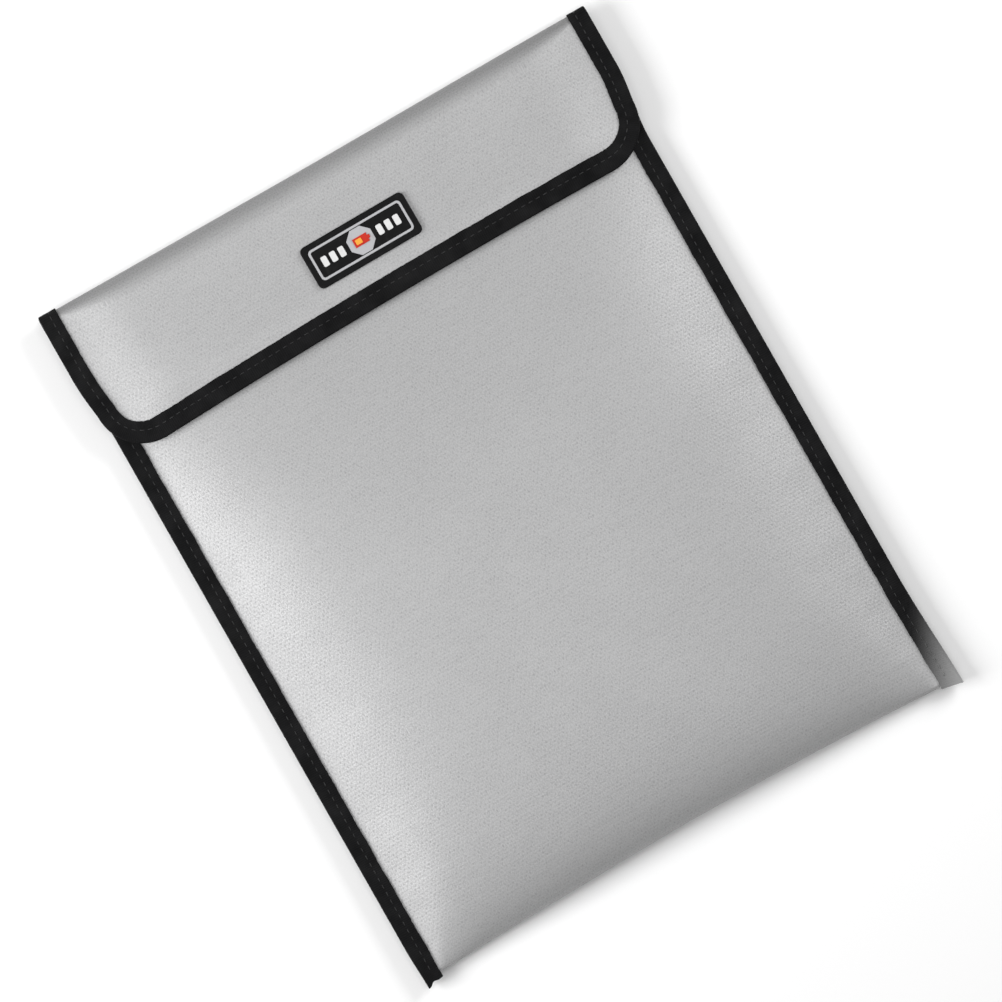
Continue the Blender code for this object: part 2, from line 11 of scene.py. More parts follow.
import logging
import math
from dataclasses import dataclass, field
from enum import Enum
from typing import Callable, Iterable, Sequence

import bmesh
import bpy
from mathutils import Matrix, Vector, noise


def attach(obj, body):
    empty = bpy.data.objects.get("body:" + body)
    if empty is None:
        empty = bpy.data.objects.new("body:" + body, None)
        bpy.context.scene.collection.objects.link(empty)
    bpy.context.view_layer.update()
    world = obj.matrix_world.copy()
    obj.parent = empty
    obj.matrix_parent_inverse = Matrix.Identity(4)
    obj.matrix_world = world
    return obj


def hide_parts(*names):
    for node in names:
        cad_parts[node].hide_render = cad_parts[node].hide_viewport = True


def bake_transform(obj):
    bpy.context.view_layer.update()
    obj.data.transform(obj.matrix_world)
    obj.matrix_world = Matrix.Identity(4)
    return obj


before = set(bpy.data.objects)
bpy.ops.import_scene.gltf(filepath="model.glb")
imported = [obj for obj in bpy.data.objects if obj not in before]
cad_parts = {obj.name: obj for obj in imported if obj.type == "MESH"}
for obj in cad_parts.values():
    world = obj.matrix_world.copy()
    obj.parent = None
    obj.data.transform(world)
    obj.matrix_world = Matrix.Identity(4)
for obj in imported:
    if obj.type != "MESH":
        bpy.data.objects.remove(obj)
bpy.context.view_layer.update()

LOG = logging.getLogger("bag")

Colour = tuple[float, float, float]
Placed = tuple[Vector, tuple[float, float, float]]
Line = list[tuple[Vector, Vector]]
Outline = list[tuple[float, float]]
Height = Callable[[float, float], float]


class Side(Enum):
    """The bag's two long edges, as seen from the front with the flap at the top."""

    LEFT = -1
    RIGHT = 1

    @property
    def word(self) -> str:
        """The side's name in piece names."""
        return self.name.lower()


class Body(Enum):
    """The rigid bodies that pieces ride on."""

    POCKET = "pocket"
    FOLD = "top_fold"
    FLAP = "flap"


class Leaf(Enum):
    """The two leaves of a folded tape: on the cloth's outer side, or on its lining."""

    OUTER = -1
    INNER = 1


# Small maths


def between(low: float, high: float, share: float) -> float:
    """The value at a share of the way from low to high."""
    return low + (high - low) * share


def smooth_step(value: float, low: float, high: float) -> float:
    """0 below low, 1 above high, and an even curve between them."""
    share = min(max((value - low) / (high - low), 0.0), 1.0)
    return share * share * (3 - 2 * share)


def steps(low: float, high: float, count: int) -> list[float]:
    """count equal steps from low to high, with both ends."""
    return [between(low, high, index / count) for index in range(count + 1)]


def wave(x: float, y: float, size: float, seed: float) -> float:
    """Smooth random relief from -1 to 1, with lumps about size metres across."""
    return noise.noise(Vector((x / size, y / size, seed)))


# Node tools


Number = int | float


class Shade:
    """A number socket of a material, on which arithmetic adds Math nodes."""

    def __init__(self, kit: "NodeKit", socket: bpy.types.NodeSocket) -> None:
        """Keeps the tree's kit and the socket.

        Args:
            kit: the tools of the material's node tree.
            socket: an output socket that carries one number.
        """
        self.kit = kit
        self.socket = socket

    def _math(self, operation: str, *values: "Shade | Number") -> "Shade":
        """Adds a Math node.

        Args:
            operation: the Math node's operation.
            values: its inputs, in order.

        Returns:
            The node's result.
        """
        inputs = dict(enumerate(values))
        made = self.kit.node("ShaderNodeMath", {"operation": operation}, inputs)
        return Shade(self.kit, made.outputs[0])

    def __add__(self, other: "Shade | Number") -> "Shade":
        """self + other"""
        return self._math("ADD", self, other)

    def __sub__(self, other: "Shade | Number") -> "Shade":
        """self - other"""
        return self._math("SUBTRACT", self, other)

    def __rsub__(self, other: Number) -> "Shade":
        """other - self"""
        return self._math("SUBTRACT", other, self)

    def __mul__(self, other: "Shade | Number") -> "Shade":
        """self * other"""
        return self._math("MULTIPLY", self, other)

    def __truediv__(self, other: "Shade | Number") -> "Shade":
        """self / other"""
        return self._math("DIVIDE", self, other)

    __radd__ = __add__
    __rmul__ = __mul__

    def cosine(self) -> "Shade":
        """Cosine of an angle in radians."""
        return self._math("COSINE", self)

    def absolute(self) -> "Shade":
        """The value without its sign."""
        return self._math("ABSOLUTE", self)

    def raised(self, power: Number) -> "Shade":
        """The value to a power."""
        return self._math("POWER", self, power)

    def at_least(self, low: "Shade | Number") -> "Shade":
        """The larger of the value and low."""
        return self._math("MAXIMUM", self, low)

    def at_most(self, high: "Shade | Number") -> "Shade":
        """The smaller of the value and high."""
        return self._math("MINIMUM", self, high)

    def eased(self, low: Number, high: Number) -> "Shade":
        """0 below low, 1 above high, and an even curve between them."""
        share = ((self - low) / (high - low)).at_least(0.0).at_most(1.0)
        return share * share * (3.0 - 2.0 * share)


class NodeKit:
    """Builds one material's node tree.

    A colour's Mix node has sockets for other kinds of value too, so its own are known by number.
    """

    MIX_SHARE, MIX_LOW, MIX_HIGH, MIX_RESULT = 0, 6, 7, 2
    CLOUD_ROUGHNESS = 0.55

    def __init__(self, name: str) -> None:
        """Starts a material.

        Args:
            name: the material's name.
        """
        self.material = bpy.data.materials.new(name)
        self.material.use_nodes = True
        self.tree = self.material.node_tree
        self.shader = self.tree.nodes["Principled BSDF"]

    def node(
        self, kind: str, settings: dict[str, object], inputs: dict[object, object]
    ) -> bpy.types.Node:
        """Adds a node.

        Args:
            kind: the node's type.
            settings: attributes that are set before the inputs.
            inputs: values or links by socket name or number.

        Returns:
            The new node.
        """
        made = self.tree.nodes.new(kind)
        for key, value in settings.items():
            setattr(made, key, value)
        for key, value in inputs.items():
            self.feed(made.inputs[key], value)
        return made

    def feed(self, socket: bpy.types.NodeSocket, value: object) -> None:
        """Links a socket, or sets its value."""
        if isinstance(value, Shade):
            self.tree.links.new(value.socket, socket)
        elif isinstance(value, bpy.types.NodeSocket):
            self.tree.links.new(value, socket)
        else:
            socket.default_value = value

    def principled(self, inputs: dict[str, object]) -> None:
        """Sets or links the surface shader's sockets."""
        for name, value in inputs.items():
            if isinstance(value, tuple):
                value = (*value, 1.0)
            self.feed(self.shader.inputs[name], value)

    def attribute(self, name: str) -> bpy.types.NodeSocket:
        """The vector that the mesh holds under a name."""
        return self.node("ShaderNodeAttribute", {"attribute_name": name}, {}).outputs["Vector"]

    def split(self, vector: bpy.types.NodeSocket) -> tuple[Shade, Shade, Shade]:
        """A vector's three numbers."""
        made = self.node("ShaderNodeSeparateXYZ", {}, {0: vector})
        return tuple(Shade(self, socket) for socket in made.outputs)

    def join(self, x: Shade | Number, y: Shade | Number, z: Shade | Number) -> bpy.types.NodeSocket:
        """A vector from three numbers."""
        return self.node("ShaderNodeCombineXYZ", {}, {0: x, 1: y, 2: z}).outputs[0]

    def clouds(self, vector: bpy.types.NodeSocket, size: float, detail: float = 2.0) -> Shade:
        """Noise from 0 to 1 with lumps about size across, in the vector's units."""
        inputs = {
            "Vector": vector,
            "Scale": 1.0 / size,
            "Detail": detail,
            "Roughness": self.CLOUD_ROUGHNESS,
        }
        made = self.node("ShaderNodeTexNoise", {"noise_dimensions": "3D"}, inputs)
        return Shade(self, made.outputs[0])

    def swings(self, vector: bpy.types.NodeSocket, size: float, detail: float = 2.0) -> Shade:
        """The same noise, from -0.5 to 0.5."""
        return self.clouds(vector, size, detail) - 0.5

    def mixed(
        self, share: Shade, low: Colour | bpy.types.NodeSocket, high: Colour
    ) -> bpy.types.NodeSocket:
        """A colour mixed from low, which may be a link, to high by a share from 0 to 1."""
        low = (*low, 1.0) if isinstance(low, tuple) else low
        inputs = {self.MIX_SHARE: share, self.MIX_LOW: low, self.MIX_HIGH: (*high, 1.0)}
        made = self.node("ShaderNodeMix", {"data_type": "RGBA"}, inputs)
        return made.outputs[self.MIX_RESULT]

    def bump(self, height: Shade, distance: float, strength: float = 1.0) -> bpy.types.NodeSocket:
        """A normal from a height in the distance's units."""
        inputs = {"Height": height, "Distance": distance, "Strength": strength}
        return self.node("ShaderNodeBump", {}, inputs).outputs[0]


# Finishes


@dataclass(frozen=True)
class Finish:
    """A surface finish, made into one material on first use.

    Attributes:
        name: of the material.
        slot: the name of a material slot; not used.
    """

    name: str
    slot: str

    def material(self) -> bpy.types.Material:
        """The finish's material."""
        found = bpy.data.materials.get(self.name)
        if found:
            return found
        kit = NodeKit(self.name)
        self.weave(kit)
        return kit.material

    def weave(self, kit: NodeKit) -> None:
        """Builds the nodes; each finish has its own way.

        Args:
            kit: the tools of the material's node tree.
        """
        raise NotImplementedError


@dataclass(frozen=True)
class CoatedCloth(Finish):
    """Plain-woven glass cloth under a satin aluminium-grey coating that shows the threads.

    Attributes:
        colour: of the coating.
        pit_colour: of the coating where it sinks in between threads.
        soil_colour: of the painted shade round the top fold.
        soil: how far the painted shade darkens the cloth where it is fullest.
        across_pitch: over two threads, across the cloth.
        along_pitch: over two threads, along the cloth.
        stray: how far the threads stray from straight lines, across and along.
        stray_size: length of those strays, across and along.
        patch_size: of the patches where the weave is stronger or fainter.
        grain_size: of the coating's grain.
        slub_size: of the thick places in the yarn.
        mottle_size: of the soft changes in tone.
        pit_tone: how much the faintest pits darken, and how much more the strongest do.
        grain_tone: how much the grain darkens.
        slub_tone: how much the thick places in the yarn darken.
        mottle_tone: how much the mottling darkens.
        base_tone: how dark plain cloth is, from colour to pit_colour.
        roughness: of the coating.
        metallic: how much the coating is like metal.
        relief: height of the bumps.
    """

    colour: Colour = (0.418, 0.418, 0.420)
    pit_colour: Colour = (0.298, 0.298, 0.301)
    soil_colour: Colour = (0.03, 0.03, 0.03)
    soil: float = 0.40
    across_pitch: float = 0.00188
    along_pitch: float = 0.00286
    stray: tuple[float, float] = (0.0009, 0.0010)
    stray_size: tuple[float, float] = (0.012, 0.017)
    patch_size: float = 0.0028
    grain_size: float = 0.00042
    slub_size: float = 0.0016
    mottle_size: float = 0.03
    pit_tone: tuple[float, float] = (0.12, 0.66)
    grain_tone: float = 2.3
    slub_tone: float = 0.3
    mottle_tone: float = 0.25
    base_tone: float = 0.24
    roughness: float = 0.5
    metallic: float = 0.35
    relief: float = 0.000037

    def weave(self, kit: NodeKit) -> None:
        """Crosses the threads in staggered pits, with slubs, mottling, grain and painted fold
        shade.
        """
        place = kit.attribute("cloth")
        u, v, crease = kit.split(place)
        drift = kit.swings(place, self.stray_size[0], 1.0)
        u = u + drift * self.stray[0]
        v = v + kit.swings(place, self.stray_size[1], 1.0) * self.stray[1]
        warp = (u * (2 * math.pi / self.across_pitch)).cosine()
        weft = (v * (2 * math.pi / self.along_pitch)).cosine()
        rib = (v * (4 * math.pi / self.along_pitch)).cosine()
        cross = warp * weft
        pits = cross.absolute().eased(0.2, 1.0) * 0.25 + cross.eased(-0.1, 1.0) * 0.5
        strength = kit.clouds(place, self.patch_size, 3.0).eased(0.34, 0.66)
        grain = kit.clouds(kit.join(u * 0.8, v * 0.65, 0.0), self.grain_size, 2.0)
        slubs = kit.clouds(kit.join(u * 0.12, v, 0.0), self.slub_size, 1.0)
        mottle = kit.clouds(place, self.mottle_size, 3.0)
        faint, strong = self.pit_tone
        dark = pits * (faint + strong * strength) + (grain - 0.5) * self.grain_tone
        dark = dark + (slubs - 0.5) * self.slub_tone
        dark = dark + (mottle - 0.5) * self.mottle_tone + self.base_tone
        height = 0.55 - (0.1 + 0.3 * strength) * cross - 0.16 * rib
        height = height + (grain - 0.5) * 0.8 + (slubs - 0.5) * 0.5
        roughness = self.roughness + (grain - 0.5) * 0.2 + pits * 0.08 + (mottle - 0.5) * 0.08
        clean = kit.mixed(dark.at_least(0.0).at_most(1.0), self.colour, self.pit_colour)
        # painted shade: the third cloth coordinate darkens the cloth round the top fold, with
        # mottling
        fold_shaded = (crease * (self.soil + (mottle - 0.5) * 0.2)).at_least(0.0).at_most(1.0)
        kit.principled(
            {
                "Base Color": kit.mixed(fold_shaded, clean, self.soil_colour),
                "Roughness": roughness.at_least(0.2).at_most(1.0),
                "Metallic": self.metallic,
                "Specular IOR Level": 0.45,
                "Normal": kit.bump(height, self.relief),
            }
        )


@dataclass(frozen=True)
class LiningCloth(Finish):
    """Bare woven glass cloth.

    Attributes:
        colour: of the yarns.
        gap_colour: of the gaps between them.
        pitch: from one yarn to the next.
        relief: height of the bumps.
    """

    colour: Colour = (0.62, 0.61, 0.57)
    gap_colour: Colour = (0.40, 0.39, 0.36)
    pitch: float = 0.0011
    relief: float = 0.00012

    def weave(self, kit: NodeKit) -> None:
        """Lays flat yarns over and under each other."""
        place = kit.attribute("cloth")
        u, v, _ = kit.split(place)
        turn = math.pi / self.pitch
        warp = (u * turn).cosine()
        weft = (v * turn).cosine()
        across_gap = (1.0 - warp.absolute()).raised(3.0)
        gaps = across_gap.at_least((1.0 - weft.absolute()).raised(3.0))
        fuzz = kit.swings(place, 0.0004, 3.0)
        mottle = kit.swings(place, 0.02, 2.0)
        dark = gaps * 0.7 + fuzz * 0.5 + mottle * 0.3
        height = warp * weft * 0.4 - gaps * 0.6 + fuzz * 0.5
        share = dark.at_least(0.0).at_most(1.0)
        kit.principled(
            {
                "Base Color": kit.mixed(share, self.colour, self.gap_colour),
                "Roughness": (0.72 + fuzz * 0.2).at_most(1.0),
                "Normal": kit.bump(height, self.relief),
            }
        )


@dataclass(frozen=True)
class WovenTape(Finish):
    """Black ribbed polyester tape: its ribs run across it.

    Attributes:
        colour: of the yarn.
        high_colour: of its tops and its lint.
        faded_colour: of the painted glare near the right tape's cut end.
        rib_pitch: from one rib to the next.
        thread_pitch: from one thread of a rib to the next.
        relief: height of the bumps.
    """

    colour: Colour = (0.0022, 0.0022, 0.0025)
    high_colour: Colour = (0.0180, 0.0180, 0.0185)
    faded_colour: Colour = (0.36, 0.36, 0.36)
    rib_pitch: float = 0.00085
    thread_pitch: float = 0.00055
    relief: float = 0.00008

    def weave(self, kit: NodeKit) -> None:
        """Makes ribs of small over-and-under threads, a little paler on top, with lint."""
        place = kit.attribute("cloth")
        along, across, faded = kit.split(place)
        along = along + kit.swings(place, 0.004, 1.0) * 0.0002
        ribs = (along * (2 * math.pi / self.rib_pitch)).cosine()
        half = (along * (math.pi / self.rib_pitch)).cosine()
        threads = (across * (2 * math.pi / self.thread_pitch)).cosine()
        fuzz = kit.clouds(place, 0.00025, 3.0)
        mottle = kit.swings(place, 0.009, 2.0)
        weave = ribs * 0.45 + half * threads * 0.4
        high = (weave * 0.5 + 0.35) * 0.5 + (fuzz - 0.45) * 1.2 + mottle * 1.0
        black = kit.mixed(high.at_least(0.0).at_most(1.0), self.colour, self.high_colour)
        # painted glare: the third cloth coordinate lightens the tape towards the right tape's cut
        # end
        glare_mix = faded * (0.9 + (fuzz - 0.5) * 0.3)
        kit.principled(
            {
                "Base Color": kit.mixed(glare_mix, black, self.faded_colour),
                "Roughness": (0.78 + (fuzz - 0.5) * 0.3).at_most(1.0),
                "Specular IOR Level": 0.1,
                "Normal": kit.bump(weave * 0.7 + (fuzz - 0.5) * 0.6, self.relief),
            }
        )


@dataclass(frozen=True)
class SewingThread(Finish):
    """Twisted black polyester thread.

    Attributes:
        colour: between the plies.
        high_colour: along the plies' tops.
        faded_colour: of the painted glare on stitches near the right tape's cut end.
        lay: length of thread in which a ply winds round once.
        relief: height of the plies.
    """

    colour: Colour = (0.006, 0.006, 0.0065)
    high_colour: Colour = (0.024, 0.024, 0.025)
    faded_colour: Colour = (0.30, 0.30, 0.30)
    lay: float = 0.00062
    relief: float = 0.00008

    def weave(self, kit: NodeKit) -> None:
        """Winds three plies round the thread, paler along their tops."""
        place = kit.attribute("cloth")
        along, turn, faded = kit.split(place)
        plies = (along * (2 * math.pi / self.lay) + turn * 3.0).cosine() * 0.5 + 0.5
        fuzz = kit.swings(place, 0.0002, 2.0)
        high = (plies * 0.8 + fuzz * 0.5).at_least(0.0)
        black = kit.mixed(high, self.colour, self.high_colour)
        # painted glare: the third cloth coordinate lightens the thread near the right tape's cut
        # end
        kit.principled(
            {
                "Base Color": kit.mixed(faded.at_most(1.0), black, self.faded_colour),
                "Roughness": 0.5 + plies * 0.1,
                "Normal": kit.bump(plies, self.relief),
            }
        )


class Pile(Enum):
    """The two halves of a hook-and-loop fastener."""

    LOOPS = "loops"
    HOOKS = "hooks"


@dataclass(frozen=True)
class Fastener(Finish):
    """A hook-and-loop strip: matted loops, or rows of stiff hooks, between plain woven edges.

    Attributes:
        pile: which half of the fastener it is.
        colour: of the ground.
        high_colour: of the pile's tips.
        hook_pitch: from one hook to the next along the strip.
        rib_pitch: of the woven edges' ribs.
        half_width: from the middle of the strip to where its pile ends.
        edge_blur: width over which the pile thins out.
        relief: height of the pile.
    """

    pile: Pile = Pile.LOOPS
    colour: Colour = (0.011, 0.011, 0.012)
    high_colour: Colour = (0.045, 0.045, 0.048)
    hook_pitch: float = 0.0013
    rib_pitch: float = 0.0007
    half_width: float = 0.0088
    edge_blur: float = 0.0004
    relief: float = 0.0005

    def weave(self, kit: NodeKit) -> None:
        """Sets the pile in the middle of the strip, and ribs on its edges."""
        place = kit.attribute("cloth")
        u, v, edge = kit.split(place)
        start = self.half_width - self.edge_blur
        piled = 1.0 - edge.absolute().eased(start, self.half_width)
        fuzz = kit.swings(place, 0.0006, 4.0)
        if self.pile is Pile.LOOPS:
            tufts = kit.clouds(place, 0.0011, 4.0).eased(0.35, 0.65)
        else:
            turn = 2 * math.pi / self.hook_pitch
            rows = (u * turn).cosine() * (v * turn * 0.5).cosine()
            tufts = rows.absolute().eased(0.35, 0.9)
        ribs = (u * (2 * math.pi / self.rib_pitch)).cosine() * 0.5 + 0.5
        height = piled * tufts + (1.0 - piled) * ribs * 0.15 + fuzz * 0.3
        share = (height * 0.7 + fuzz * 0.6).at_least(0.0).at_most(1.0)
        kit.principled(
            {
                "Base Color": kit.mixed(share, self.colour, self.high_colour),
                "Roughness": 0.7 + fuzz * 0.2,
                "Normal": kit.bump(height, self.relief),
            }
        )


@dataclass(frozen=True)
class MouldedRubber(Finish):
    """Soft moulded rubber with a fine spark-eroded grain.

    Attributes:
        colour: of the rubber.
        worn_colour: of its scuffs.
        roughness: of the clean surface.
        grain_size: of the grain.
        scuff_size: of the scuffs.
        relief: height of the grain.
    """

    colour: Colour = (0.0026, 0.0026, 0.0029)
    worn_colour: Colour = (0.018, 0.018, 0.0185)
    roughness: float = 0.55
    grain_size: float = 0.00022
    scuff_size: float = 0.0035
    relief: float = 0.00003

    def weave(self, kit: NodeKit) -> None:
        """Gives the rubber its grain and faint scuffs."""
        place = kit.node("ShaderNodeTexCoord", {}, {}).outputs["Object"]
        grain = kit.clouds(place, self.grain_size, 2.0)
        scuffs = kit.clouds(place, self.scuff_size, 4.0).eased(0.52, 0.72)
        share = (scuffs * 0.45 + (grain - 0.5) * 0.35).at_least(0.0).at_most(1.0)
        roughness = self.roughness + scuffs * 0.12 + (grain - 0.5) * 0.2
        kit.principled(
            {
                "Base Color": kit.mixed(share, self.colour, self.worn_colour),
                "Roughness": roughness.at_least(0.1),
                "Specular IOR Level": 0.13,
                "Normal": kit.bump(grain, self.relief),
            }
        )


@dataclass(frozen=True)
class TableTop(Finish):
    """The plain pale surface that the bag lies on.

    Attributes:
        colour: of the surface.
        tooth_size: of its barely visible tooth.
    """

    colour: Colour = (0.9, 0.9, 0.9)
    tooth_size: float = 0.004

    def weave(self, kit: NodeKit) -> None:
        """Makes a matte surface."""
        place = kit.node("ShaderNodeTexCoord", {}, {}).outputs["Object"]
        tooth = kit.swings(place, self.tooth_size, 2.0)
        kit.principled(
            {
                "Base Color": self.colour,
                "Roughness": 0.85 + tooth * 0.1,
                "Specular IOR Level": 0.2,
            }
        )


@dataclass(frozen=True)
class Finishes:
    """Every finish of the bag.

    Attributes:
        cloth: of the pocket and the flap.
        lining: inside both.
        tape: round the edges.
        thread: of every stitch row.
        loops: of the strip on the pocket.
        hooks: of the strip inside the flap.
        black: of the label's base.
        grey: of the label's frame and plaque.
        white: of the charge marks.
        red: of the battery sign.
        amber: of the charge on that sign.
    """

    cloth: Finish = CoatedCloth("coated glass cloth", "coated_glass_cloth")
    lining: Finish = LiningCloth("lining cloth", "lining_cloth")
    tape: Finish = WovenTape("binding tape", "binding_tape")
    thread: Finish = SewingThread("sewing thread", "sewing_thread")
    loops: Finish = Fastener("loop tape", "hook_and_loop", Pile.LOOPS)
    hooks: Finish = Fastener("hook tape", "hook_and_loop", Pile.HOOKS)
    black: Finish = MouldedRubber("black rubber", "black_rubber")
    grey: Finish = MouldedRubber(
        "grey rubber", "grey_rubber", (0.42, 0.42, 0.435), (0.31, 0.31, 0.32), 0.5
    )
    white: Finish = MouldedRubber(
        "white rubber", "white_rubber", (0.66, 0.66, 0.66), (0.52, 0.52, 0.52), 0.5
    )
    red: Finish = MouldedRubber(
        "red rubber", "red_rubber", (0.50, 0.028, 0.016), (0.36, 0.024, 0.016), 0.5
    )
    amber: Finish = MouldedRubber(
        "amber rubber", "red_rubber", (0.80, 0.36, 0.05), (0.66, 0.29, 0.04), 0.5
    )


# The bag's shape


@dataclass(frozen=True)
class BagForm:
    """The shape that every layer of the bag follows, in metres.

    Attributes:
        bag_width: over the side tapes, at the top fold.
        pocket_width: over the side tapes, where the pocket is filled out.
        flare_start: where the pocket starts to widen towards the top fold.
        flare_end: where it has its full width.
        bag_length: from the tapes' cut ends to the top fold.
        belly_height: of the pocket's highest place.
        belly_y: of the same place.
        belly_reach: from the bottom fold to where the front levels out.
        seam_lift: of the side tapes over the table.
        lift_run: from a side seam in to where the back lies on the table.
        crown_power: how boxy the pocket is across its lower part.
        flat_crown_power: the same near the flap.
        crown_low: where the lower part's shape ends.
        crown_high: where the shape near the flap starts.
        tape_cover: from a side tape's outer edge to its inner edge.
        tape_out: from a tape's outer edge to the cloth's cut edge.
        thread_out: how far a thread stands out of the top fold.
        cloth_gap: between layers.
        sheet_pair: thickness of the cloth and its lining.
        bottom_bow: how far the bottom fold bows out.
        bottom_bow_powers: how boxy that bow is on the left and on the right.
        bottom_apex_height: of the bottom fold's outermost line, in the middle.
        bottom_reach: of the part of the bottom fold that is underneath.
        tape_tail: how far a side tape's cut end stands out past the bottom fold.
        top_height: of the top fold.
        top_reach: of the top fold.
        top_lift: how far the top fold's right end stands further out than its left.
        top_lift_run: where that starts and ends, across the bag.
        top_lift_level: the share of it that is taken off all along.
        crease_over: how far past the top fold's middle line the cloth may stand; the painted shade
            is full there.
        crease_run: how far from the top fold the painted shade reaches.
        mouth_setback: of the pocket's mouth from the top fold.
        flap_depth: from the top fold to the flap's front edge.
        flap_corner: radius of the flap's corners.
        flap_slant: slope of the flap's front edge.
        flap_bow: how strongly that edge sags towards its ends.
        slant_run: from the top fold to where slant and sag are full.
        rise_at_edge: of the flap over the pocket, along its edges.
        rise_at_strips: of the flap over the pocket, over the strips.
        side_ease: width over which the flap rises from its sides.
        edge_ease: width over which it rises from its front edge.
        strip_width: of the hook and loop strips.
        strip_clear: between the flap's rise and the strips.
    """

    bag_width: float = 0.241
    pocket_width: float = 0.235
    flare_start: float = 0.092
    flare_end: float = 0.122
    bag_length: float = 0.2955
    belly_height: float = 0.024
    belly_y: float = -0.018
    belly_reach: float = 0.125
    seam_lift: float = 0.003
    lift_run: float = 0.028
    crown_power: float = 3.0
    flat_crown_power: float = 4.4
    crown_low: float = -0.04
    crown_high: float = 0.085
    tape_cover: float = 0.0086
    tape_out: float = 0.0008
    thread_out: float = 0.0015
    cloth_gap: float = 0.0003
    sheet_pair: float = 0.0012
    bottom_bow: float = 0.0033
    bottom_bow_powers: tuple[float, float] = (1.2, 2.0)
    bottom_apex_height: float = 0.0085
    bottom_reach: float = 0.012
    tape_tail: float = 0.0022
    top_height: float = 0.016
    top_reach: float = 0.010
    top_lift: float = 0.0009
    top_lift_run: tuple[float, float] = (-0.02, 0.11)
    top_lift_level: float = 0.25
    crease_over: float = 0.0005
    crease_run: float = 0.007
    mouth_setback: float = 0.0168
    flap_depth: float = 0.0605
    flap_corner: float = 0.0195
    flap_slant: float = 0.020
    flap_bow: float = 0.125
    slant_run: float = 0.035
    rise_at_edge: float = 0.0027
    rise_at_strips: float = 0.0044
    side_ease: float = 0.024
    edge_ease: float = 0.014
    strip_width: float = 0.020
    strip_clear: float = 0.0005

    @property
    def top_y(self) -> float:
        """Outside of the top fold."""
        return (self.bag_length - self.thread_out) / 2

    @property
    def bottom_y(self) -> float:
        """Cut ends of the side tapes."""
        return self.top_y - self.bag_length

    @property
    def seam_stack(self) -> float:
        """Thickness of cloth in the side seam."""
        return 2 * self.sheet_pair + self.cloth_gap

    @property
    def seam_back(self) -> float:
        """Underside of the cloth in the side seam."""
        return self.seam_lift + self.tape_out

    @property
    def seam_front(self) -> float:
        """Top of the cloth in the side seam."""
        return self.seam_back + self.seam_stack

    @property
    def top_tangent(self) -> float:
        """Where the top fold starts, in the middle."""
        return self.top_y - self.top_reach

    @property
    def mouth_y(self) -> float:
        """The pocket's bound mouth."""
        return self.top_y - self.mouth_setback

    @property
    def flap_edge(self) -> float:
        """Cut front edge of the flap's cloth, in the middle."""
        return self.top_y - self.flap_depth + self.tape_out

    @property
    def quarter_turn(self) -> float:
        """Length of cloth round half of the top fold."""
        mean_square = (self.top_reach**2 + (self.top_height / 2) ** 2) / 2
        return math.pi / 2 * math.sqrt(mean_square)

    def half_width(self, y: float) -> float:
        """From the middle to the outside of the side binding."""
        flare = smooth_step(y, self.flare_start, self.flare_end)
        return between(self.pocket_width, self.bag_width, flare) / 2

    def sheet_edge(self, y: float) -> float:
        """From the middle to the cut edge of the cloth."""
        return self.half_width(y) - self.tape_out

    def seam_inner(self, y: float) -> float:
        """From the middle to where the cloth leaves the flat of the side seam."""
        return self.half_width(y) - self.tape_cover - self.cloth_gap

    def crown(self, x: float, y: float) -> float:
        """1 in the middle of the bag and 0 at its side seams."""
        flatter = smooth_step(y, self.crown_low, self.crown_high)
        power = between(self.crown_power, self.flat_crown_power, flatter)
        return 1 - min(abs(x) / self.seam_inner(y), 1.0) ** power

    def back_height(self, x: float, y: float) -> float:
        """Underside of the back."""
        inner = self.seam_inner(y)
        return self.seam_back * smooth_step(abs(x), inner - self.lift_run, inner)

    def front_height(self, x: float, y: float) -> float:
        """Outside of the pocket's front, away from the bottom fold."""
        share = (y - self.belly_y) / (self.top_tangent - self.belly_y)
        share = min(max(share, 0.0), 1.0)
        fall = (1 + math.cos(math.pi * share)) / 2
        top = self.top_height - self.sheet_pair - self.rise_at_strips
        middle = between(top, self.belly_height, fall)
        return between(self.seam_front, middle, self.crown(x, y))

    def bottom_apex(self, x: float) -> Vector:
        """Outermost point of the bottom fold."""
        across = min(abs(x) / self.half_width(self.bottom_y), 1.0)
        bow = 1 - across ** self.bottom_bow_powers[x > 0]
        y = self.bottom_y + self.tape_tail + self.bottom_bow * bow
        half = between(self.seam_stack / 2, self.bottom_apex_height, self.crown(x, self.bottom_y))
        return Vector((x, y, self.back_height(x, self.bottom_y) + half))

    def front_point(self, share: float, row: float) -> Vector:
        """A point on the front's outside.

        Args:
            share: of the way out from the middle, from -1 to 1.
            row: -1 to 0 is under the bottom fold, and 0 to 1 runs from the fold to the mouth.

        Returns:
            The point.
        """
        x = share * self.sheet_edge(self.bottom_y)
        apex = self.bottom_apex(x)
        bulge = self.crown(x, self.bottom_y)
        if row < 0:
            turn = -row * math.pi / 2
            reach = between(self.seam_stack / 2, self.bottom_reach, bulge)
            low = self.back_height(x, self.bottom_y)
            y = apex.y + reach * (1 - math.cos(turn))
            return Vector((x, y, between(apex.z, low, math.sin(turn))))
        y = between(apex.y, self.mouth_y, row)
        x = share * self.sheet_edge(y)
        reach = between(self.seam_stack / 2, self.belly_reach, bulge)
        power = between(2, 4, bulge)
        rise = math.sqrt(1 - max(1 - (y - apex.y) / reach, 0.0) ** power)
        return Vector((x, y, between(apex.z, self.front_height(x, y), rise)))

    def flap_height(self, x: float, y: float) -> float:
        """Outside of the closed flap."""
        inner = self.seam_inner(y)
        over_strips = 1 - smooth_step(abs(x), inner - self.side_ease, inner)
        over_strips *= smooth_step(y, self.flap_edge, self.flap_edge + self.edge_ease)
        rise = between(self.rise_at_edge, self.rise_at_strips, over_strips)
        return self.front_height(x, y) + rise + self.sheet_pair

